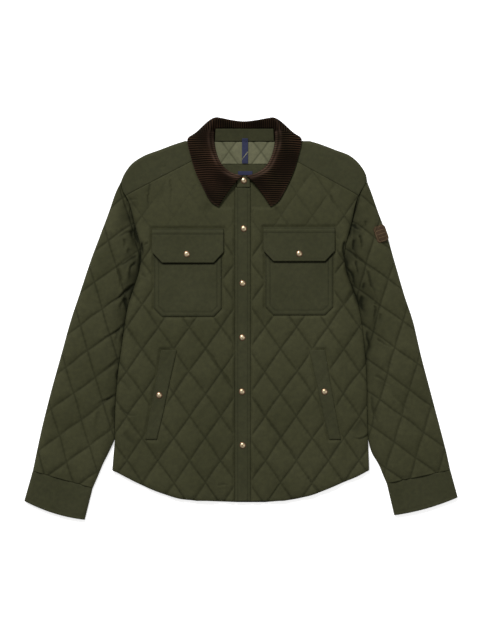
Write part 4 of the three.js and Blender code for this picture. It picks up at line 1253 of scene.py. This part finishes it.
def make_chest(name):
    place = CHEST_PLACES[name]
    pocket = chest_pocket_outline(place)
    rows, left, right = rows_and_sides(pocket, 1.9)
    piece = panel(f"chest_pocket_{name}_cloth", rows, left, right, pocket_top, on_front(POCKET_LIFT), PLAIN,
                  1.5, shade=pocket_shade)
    register(piece, f"chest_pocket_{name}")
    lay(rows, left, right)
    rows, left, right = rows_and_sides(chest_flap_outline(place), 1.9)

    def under(x, y):
        return front_top(x, y) + flap_lift(place, x, y)

    # Painted shade along the flap's two stitched lines.
    def shade(x, y):
        return 0.42 * flap_seams(place, x, y)

    flap = panel(f"pocket_flap_{name}_cloth", rows, left, right, flap_top(place), under, PLAIN,
                 1.5, shade=shade)
    register(flap, f"pocket_flap_{name}")
    lay(rows, left, right)


def band_seams(x, y):
    """Closeness to the two stitched lines down the placket."""
    near = np.minimum(np.abs(x - PLACKET["left"] - PLACKET_SEAM), np.abs(x - PLACKET["right"] + PLACKET_SEAM))
    return np.exp(-((near / 1.0) ** 2))


def band_top(x, y):
    return front_top(x, y) + SEAM_GAP + BAND_CLOTH + 0.3 * ripple(x, y, 80, 73) - 0.35 * band_seams(x, y)


def band_edge(x, y):
    """Rounded width of the placket's rims: crisp on the free side, soft on the sewn side."""
    return 1.2 + 4.3 * smooth_step(x, 4, 9)


def band_drop(x, y):
    return 1.6 + 0.7 * smooth_step(x, 4, 9)


# Painted shade along the placket's two stitched lines.
def band_shade(x, y):
    return 0.3 * band_seams(x, y)


def tab_top(x, y):
    return STAND_TAB["underside"] + BAND_CLOTH + 0.15 * ripple(x, y, 30, 75)


def make_placket():
    rows = down_rows(PLACKET["top"], HEM_Y, 1.8)
    left = np.full(len(rows), PLACKET["left"] + SEAM_GAP / 2)
    right = np.full(len(rows), PLACKET["right"] + PLACKET_OVERLAP)
    piece = panel("placket_cloth", rows, left, right, band_top, on_front(SEAM_GAP), PLAIN, 1.2,
                  edge=band_edge, shade=band_shade, drop=band_drop)
    register(piece, "placket")
    lay(rows, left, right)
    rows = down_rows(STAND_TAB["top"], PLACKET["top"] + SEAM_GAP, 1.2)
    left = np.full(len(rows), STAND_TAB["left"])
    right = np.full(len(rows), STAND_TAB["right"])
    under = at_height(STAND_TAB["underside"])
    tab = panel("stand_tab_cloth", rows, left, right, tab_top, under, PLAIN, 1.2, edge=1.6)
    register(tab, "stand_tab")
    lay(rows, left, right)


# Inside of the neck

def neck_half_width(y):
    heights = [row[1] for row in NECK_HALF]
    widths = [row[0] for row in NECK_HALF]
    return np.interp(y, heights[::-1], widths[::-1])


def lining_top(x, y):
    puff = quilt(x - LINING_NODE[0], y - LINING_NODE[1], 77)[0]
    return LINING_TOP + LINING_PUFF * puff + 0.1 * ripple(x, y, 30, 79)


# Painted shade along the lining's quilting lines.
def lining_line_shade(x, y):
    return quilt(x - LINING_NODE[0], y - LINING_NODE[1], 77)[1]


def stand_under(x, y):
    share = (y - STAND["bottom"]) / (STAND["top"] - STAND["bottom"])
    return STAND["bottom_under"] + (STAND["top_under"] - STAND["bottom_under"]) * share + 0 * x


def stand_top(x, y):
    return stand_under(x, y) + STAND["cloth"] + 0.2 * ripple(x, y, 50, 81)


def loop_under(x, y):
    on_stand = stand_under(x, np.maximum(y, STAND["bottom"])) + STAND["cloth"] + 0.5
    share = np.clip((y - HANGER_LOOP["bottom"]) / (STAND["bottom"] - 1 - HANGER_LOOP["bottom"]), 0, 1)
    by_stand = STAND["bottom_under"] + STAND["cloth"] + 0.5
    low = HANGER_LOOP["on_lining"] + (by_stand - HANGER_LOOP["on_lining"]) * share
    return np.where(y > STAND["bottom"] - 1, on_stand, low)


def facing_top(x, y):
    return LINING_TOP + 0.15 * ripple(x, y, 40, 83)


def label_top(x, y):
    return LABEL["under"] + LABEL["cloth"] + 0.05 * ripple(x, y, 12, 85)


def loop_top(x, y):
    return loop_under(x, y) + HANGER_LOOP["cloth"]


def make_neck_inside():
    under = at_height(FRONT_UNDERSIDE)
    gap = SEAM_GAP / 2
    rows = down_rows(STAND["top"], STAND["bottom"] + SEAM_GAP, 1.6)
    half = np.interp(rows, [STAND["bottom"], STAND["top"]], [STAND["out_low"], STAND["out"]])
    left, right = NECK_AXIS_X - half, NECK_AXIS_X + half
    piece = panel("collar_stand_cloth", rows, left, right, stand_top, stand_under, PLAIN, 1.6, edge=1.2)
    register(piece, "collar_stand")
    lay(rows, left, right)
    rows = down_rows(LINING_ROWS[0] - gap, LINING_ROWS[1] + gap, 1.5)
    half = neck_half_width(rows) - gap
    left, right = NECK_AXIS_X - half, NECK_AXIS_X + half
    piece = panel("neck_lining_cloth", rows, left, right, lining_top, under, LINING,
                  1.5, 1.2, shade=lining_line_shade)
    register(piece, "neck_lining")
    lay(rows, left, right)
    rows = down_rows(FACING_ROWS[0] - gap, FACING_ROWS[1], 1.5)
    half = neck_half_width(rows) - gap
    left, right = NECK_AXIS_X - half, NECK_AXIS_X + half
    piece = panel("neck_facing_cloth", rows, left, right, facing_top, under, PLAIN, 1.5, 1.2)
    register(piece, "neck_facing")
    lay(rows, left, right)


def make_neck_trims():
    rows = down_rows(LABEL["top"], LABEL["bottom"], 0.8)
    left, right = np.full(len(rows), LABEL["left"]), np.full(len(rows), LABEL["right"])
    label_under = at_height(LABEL["under"])
    piece = panel("neck_label_cloth", rows, left, right, label_top, label_under, NAVY, 0.8, 0.7)
    register(piece, "neck_label")
    rows = down_rows(HANGER_LOOP["top"], HANGER_LOOP["bottom"], 1.0)
    left, right = np.full(len(rows), HANGER_LOOP["left"]), np.full(len(rows), HANGER_LOOP["right"])
    piece = panel("hanger_loop_cloth", rows, left, right, loop_top, loop_under, NAVY, 1.0, 0.7)
    register(piece, "hanger_loop")
    thread = stitches("loop_stitch", LOOP_BAR, loop_top, YELLOW_THREAD, 2.4, 2.2, 0.4)
    register(thread, "hanger_loop")


# Collar

def knot_gap(u, v):
    return np.maximum(np.linalg.norm(v - u, axis=-1, keepdims=True), 1e-6) ** 0.5


def through(points, at):
    """A centripetal spline through rows of points, at places counted in rows."""
    p = np.asarray(points, dtype=float)
    p = np.concatenate([2 * p[:1] - p[1:2], p, 2 * p[-1:] - p[-2:-1]])
    first = np.clip(np.floor(at).astype(int), 0, len(points) - 2)
    share = (at - first)
    a, b, c, d = p[first], p[first + 1], p[first + 2], p[first + 3]
    t0 = 0.0
    t1 = t0 + knot_gap(a, b)
    t2 = t1 + knot_gap(b, c)
    t3 = t2 + knot_gap(c, d)
    t = t1 + (t2 - t1) * share.reshape((-1,) + (1,) * (a.ndim - 1))
    a1 = (a * (t1 - t) + b * (t - t0)) / (t1 - t0)
    a2 = (b * (t2 - t) + c * (t - t1)) / (t2 - t1)
    a3 = (c * (t3 - t) + d * (t - t2)) / (t3 - t2)
    b1 = (a1 * (t2 - t) + a2 * (t - t0)) / (t2 - t0)
    b2 = (a2 * (t3 - t) + a3 * (t - t1)) / (t3 - t1)
    return (b1 * (t2 - t) + b2 * (t - t1)) / (t2 - t1)


def even_places(points, count):
    """Places along a spline whose points come out evenly spread."""
    fine = np.linspace(0, len(points) - 1, 1200)
    line = through(points, fine)
    reach = np.concatenate([[0], np.cumsum(np.linalg.norm(np.diff(line, axis=0), axis=1))])
    return np.interp(np.linspace(0, reach[-1], count), reach, fine)


def collar_rows():
    half = np.array(COLLAR_HALF, dtype=float)
    left, right = half.copy(), half[-2::-1].copy()
    left[..., 0] = NECK_AXIS_X - left[..., 0]
    right[..., 0] = NECK_AXIS_X + right[..., 0]
    return np.concatenate([left, right])


def bridge(points, first, second):
    """Faces between two closed rings with different numbers of points."""
    faces = []
    i, j = 0, 0
    while i < len(first) or j < len(second):
        a, b = int(first[i % len(first)]), int(second[j % len(second)])
        next_a, next_b = int(first[(i + 1) % len(first)]), int(second[(j + 1) % len(second)])
        step_first = j >= len(second) or (i < len(first) and
            np.linalg.norm(points[next_a] - points[b]) <= np.linalg.norm(points[a] - points[next_b]))
        if step_first:
            faces.append([a, b, next_a])
            i += 1
        else:
            faces.append([a, b, next_b])
            j += 1
    return faces


def make_collar():
    rows = collar_rows()
    along = even_places(rows[:, 1], 520)
    across = np.linspace(0, 3, 104)
    section = np.stack([through(row, across) for row in rows])
    surface = through(section, along)
    du = np.gradient(surface, axis=0)
    dv = np.gradient(surface, axis=1)
    outwards = np.cross(dv, du)
    outwards = outwards / np.maximum(np.linalg.norm(outwards, axis=-1, keepdims=True), 1e-9)
    row = np.minimum(along, len(rows) - 1 - along)[:, None]
    back = smooth_step(row, COLLAR_CORNER_ROW - 0.25, COLLAR_CORNER_ROW + 0.25)
    wander = 0.35 * ripple(surface[..., 0], surface[..., 1], 90, 87)
    level = np.cos((surface[..., 1] / WALE_PITCH + wander) * math.tau)
    upright = np.cos((surface[..., 0] / WALE_PITCH + wander) * math.tau)
    rib = level * (1 - back) + upright * back
    worn = np.clip(0.62 + 0.5 * ripple(surface[..., 0], surface[..., 1], 62, 105), 0.22, 1)
    wale = 0.5 + 0.5 * rib * worn
    rim = np.minimum(np.minimum(across, 3 - across)[None, :] * 30, row * 9)
    fade = smooth_step(rim, 0.2, 2.5)
    height = CORDUROY / 2 * (0.55 + 0.45 * smooth_step(rim, 0, 1.4))
    height = height + WALE_HEIGHT * (wale ** 0.7 - 0.5) * fade
    height = height + 0.35 * ripple(surface[..., 0], surface[..., 1], 60, 89)
    upper = surface + outwards * height[..., None]
    kept = [list(range(0, count, 4)) + [count - 1] for count in surface.shape[:2]]
    lower = (surface - outwards * (CORDUROY / 2))[np.ix_(*kept)]
    faces, top_index = grid_faces(*upper.shape[:2])
    under_faces, low_index = grid_faces(*lower.shape[:2], top_index.size)
    under_faces = [face[::-1] for face in under_faces]
    top_rim, low_rim = rim_of(top_index), rim_of(low_index)
    points = np.vstack([upper.reshape(-1, 3), lower.reshape(-1, 3)])
    sides = bridge(points, top_rim, low_rim)
    piece = finished_mesh("collar_cloth", points, faces + under_faces + sides, CORD)
    # Lighter bands along the roll, the free edges and the inner edge: partly worn pile and partly painted
    # highlight; the inner band paints light onto the face that turns down into the neck.
    uneven = np.clip(0.6 + 0.5 * ripple(surface[..., 0], surface[..., 1], 42, 91), 0, 1)
    roll = 0.3 * np.exp(-(((across - 2.0) / 0.14) ** 2))[None, :] * uneven
    edges = 0.3 * np.exp(-((across / 0.06) ** 2))[None, :] * uneven * (1 - back)
    inner = 0.8 * np.exp(-(((2.62 - across) / 0.26) ** 2))[None, :] * (0.15 + 0.85 * uneven) * (1 - back)
    wear_and_highlight = np.clip(roll * (1 - 0.7 * back) + (edges + inner) * (0.25 + 0.75 * wale), 0, 1) * 0.75
    for attribute, values in (("wale", wale), ("wear_and_highlight", wear_and_highlight)):
        add_attribute(piece, attribute, np.concatenate([values.ravel(), np.zeros(low_index.size)]))
    register(piece, "collar")


# Badge and snaps

def badge_place(x, y):
    c, s = math.cos(SLEEVE_TILT), math.sin(SLEEVE_TILT)
    return BADGE["x"] + x * c - y * s, BADGE["y"] + x * s + y * c


def badge_under(x, y):
    return sleeve_top(x, y, "right") + 0.3


def badge_top(x, y):
    return sleeve_top(x, y, "right") + 0.3 + BADGE["cloth"]


def make_badge():
    half_width, half_height, corner = BADGE["width"] / 2, BADGE["height"] / 2, BADGE["corner"]
    rows = down_rows(half_height, -half_height, 0.8)
    inset_rows = np.clip(np.abs(rows) - (half_height - corner), 0, corner)
    half = half_width - corner + np.sqrt(np.clip(corner ** 2 - inset_rows ** 2, 0, None)) + 0.05
    piece = panel("sleeve_badge_cloth", rows, -half, half, badge_top, badge_under, FELT,
                  0.8, 0.8, place=badge_place)
    register(piece, "sleeve_badge")
    turns = np.linspace(0, math.tau, 60)
    edge_x = (half_width - 1.6) * np.sign(np.cos(turns)) * np.abs(np.cos(turns)) ** 0.55
    edge_y = (half_height - 1.6) * np.sign(np.sin(turns)) * np.abs(np.sin(turns)) ** 0.55
    border = [np.stack(badge_place(edge_x * k, edge_y * k), axis=1) for k in (1.0, 0.93)]
    bars = [np.stack(badge_place(np.array([-7.0, 7.0]), np.array([v, v])), axis=1)
            for v in (-7.5, -6.8, -0.4, 0.3, 6.8, 7.5)]
    thread = stitches("badge_stitch", border + bars, badge_top, TAN_THREAD, 1.7, 1.7, 0.35)
    register(thread, "sleeve_badge")


def make_snap(name, place, z):
    turns = np.arange(SNAP_SIDES) * math.tau / SNAP_SIDES
    profile = spline(SNAP_PROFILE, 0.35)
    vertices = [(place[0], place[1], z + SNAP_PROFILE[0][1])]
    for radius, height in profile[1:]:
        x, y = place[0] + radius * np.cos(turns), place[1] + radius * np.sin(turns)
        vertices.extend(np.column_stack([x, y, np.full(SNAP_SIDES, z + height)]))
    faces = [[0, 1 + k, 1 + (k + 1) % SNAP_SIDES] for k in range(SNAP_SIDES)]
    for ring in range(len(profile) - 2):
        start = 1 + SNAP_SIDES * ring
        after = start + SNAP_SIDES
        for k in range(SNAP_SIDES):
            n = (k + 1) % SNAP_SIDES
            faces.append([start + k, after + k, after + n, start + n])
    bottom = 1 + SNAP_SIDES * (len(profile) - 2)
    faces.append([bottom + k for k in range(SNAP_SIDES)][::-1])
    vertices = np.array(vertices)
    piece = finished_mesh(f"{name}_cap", vertices, faces, BRASS)
    rim = smooth_step(np.hypot(vertices[:, 0] - place[0], vertices[:, 1] - place[1]), 3.6, 5.4)
    add_attribute(piece, "rim", rim)
    register(piece, name)


def seat(top, place):
    turns = np.arange(12) * math.tau / 12
    x = np.concatenate([[place[0]], place[0] + SNAP_SEAT * np.cos(turns)])
    y = np.concatenate([[place[1]], place[1] + SNAP_SEAT * np.sin(turns)])
    return float(np.max(top(x, y))) - 0.1


def make_snaps():
    make_snap("snap_front_1", CLOSURE_SNAPS[0], STAND_TAB["underside"] + BAND_CLOTH)
    for k, place in enumerate(CLOSURE_SNAPS[1:]):
        make_snap(f"snap_front_{k + 2}", place, seat(band_top, place))
    for name in ("right", "left"):
        make_snap(f"snap_flap_{name}", FLAP_SNAPS[name], seat(flap_top(CHEST_PLACES[name]), FLAP_SNAPS[name]))
        make_snap(f"snap_welt_{name}", WELT_SNAPS[name], seat(welt_top, WELT_SNAPS[name]))


# Stitched lines

def runs_of(points, shown):
    """The parts of a line of points that are shown."""
    parts, part = [], []
    for point, keep in zip(points, shown):
        if keep:
            part.append(point)
        elif part:
            parts.append(part)
            part = []
    parts.append(part)
    return [np.array(part) for part in parts if len(part) > 2]


def quilt_lines(to_plane, is_shown, across, along):
    paths = []
    reach = np.arange(along[0], along[1], 3.0)
    for sign in (1, -1):
        for number in range(-14, 15):
            u = (number - sign * reach / DIAMOND_HEIGHT) * DIAMOND_WIDTH
            inside = (u > across[0]) & (u < across[1])
            x, y = to_plane(u, reach)
            paths += runs_of(np.stack([x, y], axis=1), inside & is_shown(x, y))
    return paths


def front_outline(side):
    rows = down_rows(YOKE_SEAM["at_neck"] - 1, HEM_Y, 6)
    left, right = front_bounds(side, rows)
    return np.vstack([np.stack([left, rows], axis=1), np.stack([right, rows], axis=1)[::-1]])


def stitch_front(side):
    wearer = WEARER[side]
    sign = -1 if side == "left" else 1
    outline = front_outline(side)
    flap = chest_flap_outline(CHEST_PLACES[wearer])

    def shown(x, y):
        clear = (flat_share(x, y) > 0.75) & ~is_inside(x, y, flap)
        rim = distance_to_line(x, y, np.vstack([outline, outline[:1]])[::2]) > 4
        return is_inside(x, y, outline) & clear & rim

    def plane(u, v):
        return (u + BODY_NODE[0]) * sign, v + BODY_NODE[1]

    paths = quilt_lines(plane, shown, (-60, 240), (-280, 470))
    hem = resampled(LINES[side]["hem"] + (0, HEM_SEAM), 3)
    paths.append(hem[np.abs(hem[:, 0]) < HEM_SEAM_REACH])
    thread = stitches(f"front_{wearer}_stitches", paths, front_top, THREAD)
    register(thread, f"front_{wearer}")


def rounded_sleeve(x, y, side, outline):
    inwards = distance_to_line(x, y, np.vstack([outline, outline[:1]]))
    return SLEEVE_RIM + (sleeve_top(x, y, side) - SLEEVE_RIM) * rounded(inwards, SLEEVE_ROUND)


def stitch_sleeve(side):
    wearer = WEARER[side]
    mirror = 1 if side == "left" else -1
    at, down, across, outer_edge, inner_edge = sleeve_stations(side, 8)
    ends = [edge[:, None] * across + at[:, None] * down for edge in (outer_edge, inner_edge)]
    outline = np.vstack([ends[0], ends[1][::-1]])
    c, s = math.cos(SLEEVE_TILT), math.sin(SLEEVE_TILT)

    def plane(u, v):
        dx, dy = u * c + v * s, v * c - u * s
        return SLEEVE_NODE[side][0] + dx * mirror, SLEEVE_NODE[side][1] + dy

    half_width, half_height = BADGE["width"] / 2 + 1, BADGE["height"] / 2 + 1
    corners = np.array([(-1, -1), (1, -1), (1, 1), (-1, 1)]) * (half_width, half_height)
    badge = np.stack(badge_place(*corners.T), axis=1)

    def shown(x, y):
        clear = distance_to_line(x, y, np.vstack([outline, outline[:1]])) > 7
        return is_inside(x, y, outline) & clear & ~is_inside(x, y, badge)

    paths = quilt_lines(plane, shown, (-110, 120), (-440, 420))

    def top(x, y):
        return rounded_sleeve(x, y, side, outline)

    thread = stitches(f"sleeve_{wearer}_stitches", paths, top, THREAD)
    register(thread, f"sleeve_{wearer}")


def stitch_chest(name):
    place = CHEST_PLACES[name]
    pocket = chest_pocket_outline(place)
    rows = [inset(pocket, gap) for gap in POCKET_SEAMS]
    paths = [np.vstack([row, row[:1]])[:-1] for row in rows]
    thread = stitches(f"chest_pocket_{name}_stitches", paths, pocket_top, THREAD)
    register(thread, f"chest_pocket_{name}")
    x, top = place
    half = CHEST_FLAP["width"] / 2
    border = inset(chest_flap_outline(place), 6)
    lines = [border[:-1]] + [[(x - half + 2, top - down), (x + half - 2, top - down)] for down in FLAP_SEAMS]
    flap = stitches(f"pocket_flap_{name}_stitches", lines, flap_top(place), THREAD)
    register(flap, f"pocket_flap_{name}")


def sorted_pair(first, second):
    order = np.argsort(first)
    return first[order], second[order]


def stitch_cuff(side):
    u = np.linspace(0.05, 0.95, 40)
    v = 1 - CUFF_HEM / CUFF_LENGTH
    line = cuff_plane(side, u, np.full(40, v))

    def top(x, y):
        along = np.interp(x, *sorted_pair(line[:, 0], u))
        return cuff_height(side, along, np.full(np.shape(x), v))

    thread = stitches(f"cuff_{WEARER[side]}_stitches", [line], top, THREAD)
    register(thread, f"cuff_{WEARER[side]}")


def stitch_trims():
    left, right = PLACKET["left"] + PLACKET_SEAM, PLACKET["right"] - PLACKET_SEAM
    paths = [[(x, PLACKET["top"] - 3), (x, HEM_Y + 4)] for x in (left, right)]
    thread = stitches("placket_stitches", paths, band_top, THREAD)
    register(thread, "placket")
    for side in ("left", "right"):
        wearer = WEARER[side]
        inner, outer = welt_lines(side)
        sign = -1 if side == "left" else 1
        middle = (inner + outer) / 2
        rows = [middle + (line - middle) * WELT_SEAM_SHARE for line in (inner, outer)]
        welt = stitches(f"welt_{wearer}_stitches", rows, welt_top, THREAD)
        register(welt, f"welt_{wearer}")
        corner_x = x_at(LINES[side]["armhole"], YOKE_SEAM["at_armhole"])
        neck = np.array([NECK_AXIS_X + sign * YOKE_SEAM["neck_out"], YOKE_SEAM["at_neck"]])
        seam = np.array([(corner_x - sign * 4, YOKE_SEAM["at_armhole"] + 4.5), neck + (sign * 4, 2.5)])
        yoke = stitches(f"yoke_{wearer}_stitches", [resampled(seam, 3)], yoke_top, THREAD)
        register(yoke, f"yoke_{wearer}")
        stitch_cuff(side)


make_back()
make_front("left")
make_front("right")
for side_name in ("left", "right"):
    make_yoke(side_name)
    make_sleeve(side_name)
    make_cuff(side_name)
    make_welt(side_name)
    stitch_sleeve(side_name)
for pocket_name in ("right", "left"):
    make_chest(pocket_name)
    stitch_chest(pocket_name)
make_placket()
make_neck_inside()
make_neck_trims()
make_collar()
make_badge()
make_snaps()
stitch_front("left")
stitch_front("right")
stitch_trims()


# Table, light and camera

def make_floor():
    mesh = bpy.data.meshes.new("floor")
    corners = [(-1, -1, 0), (1, -1, 0), (1, 1, 0), (-1, 1, 0)]
    mesh.from_pydata([Vector(corner) * FLOOR_HALF for corner in corners], [], [(0, 1, 2, 3)])
    mesh.materials.append(floor_paper("white_paper"))
    floor = bpy.data.objects.new("floor", mesh)
    bpy.context.scene.collection.objects.link(floor)


def soft_light(name, place, size, power):
    light = bpy.data.lights.new(name, "AREA")
    light.shape = "DISK"
    light.size = size
    light.energy = power
    lamp = bpy.data.objects.new(name, light)
    lamp.location = place
    lamp.rotation_euler = (-Vector(place)).to_track_quat("-Z", "Y").to_euler()
    bpy.context.scene.collection.objects.link(lamp)


def make_studio():
    world = bpy.data.worlds.new("studio")
    world.use_nodes = True
    world.node_tree.nodes["Background"].inputs["Color"].default_value = (1, 1, 1, 1)
    world.node_tree.nodes["Background"].inputs["Strength"].default_value = 0.36
    bpy.context.scene.world = world
    soft_light("key", (-2.2, 5.4, 5.2), 2.0, 640)
    soft_light("fill", (4.5, -0.6, 5.7), 4.2, 60)
    bpy.context.scene.view_settings.view_transform = "Standard"


def make_camera():
    data = bpy.data.cameras.new("camera")
    data.sensor_fit = "VERTICAL"
    data.sensor_height = 36
    data.lens = 90
    camera = bpy.data.objects.new("camera", data)
    camera.location = ((OFFSET_X - 6) * MM, OFFSET_Y * MM, 3.2)
    bpy.context.scene.collection.objects.link(camera)
    bpy.context.scene.camera = camera


make_floor()
make_studio()
make_camera()
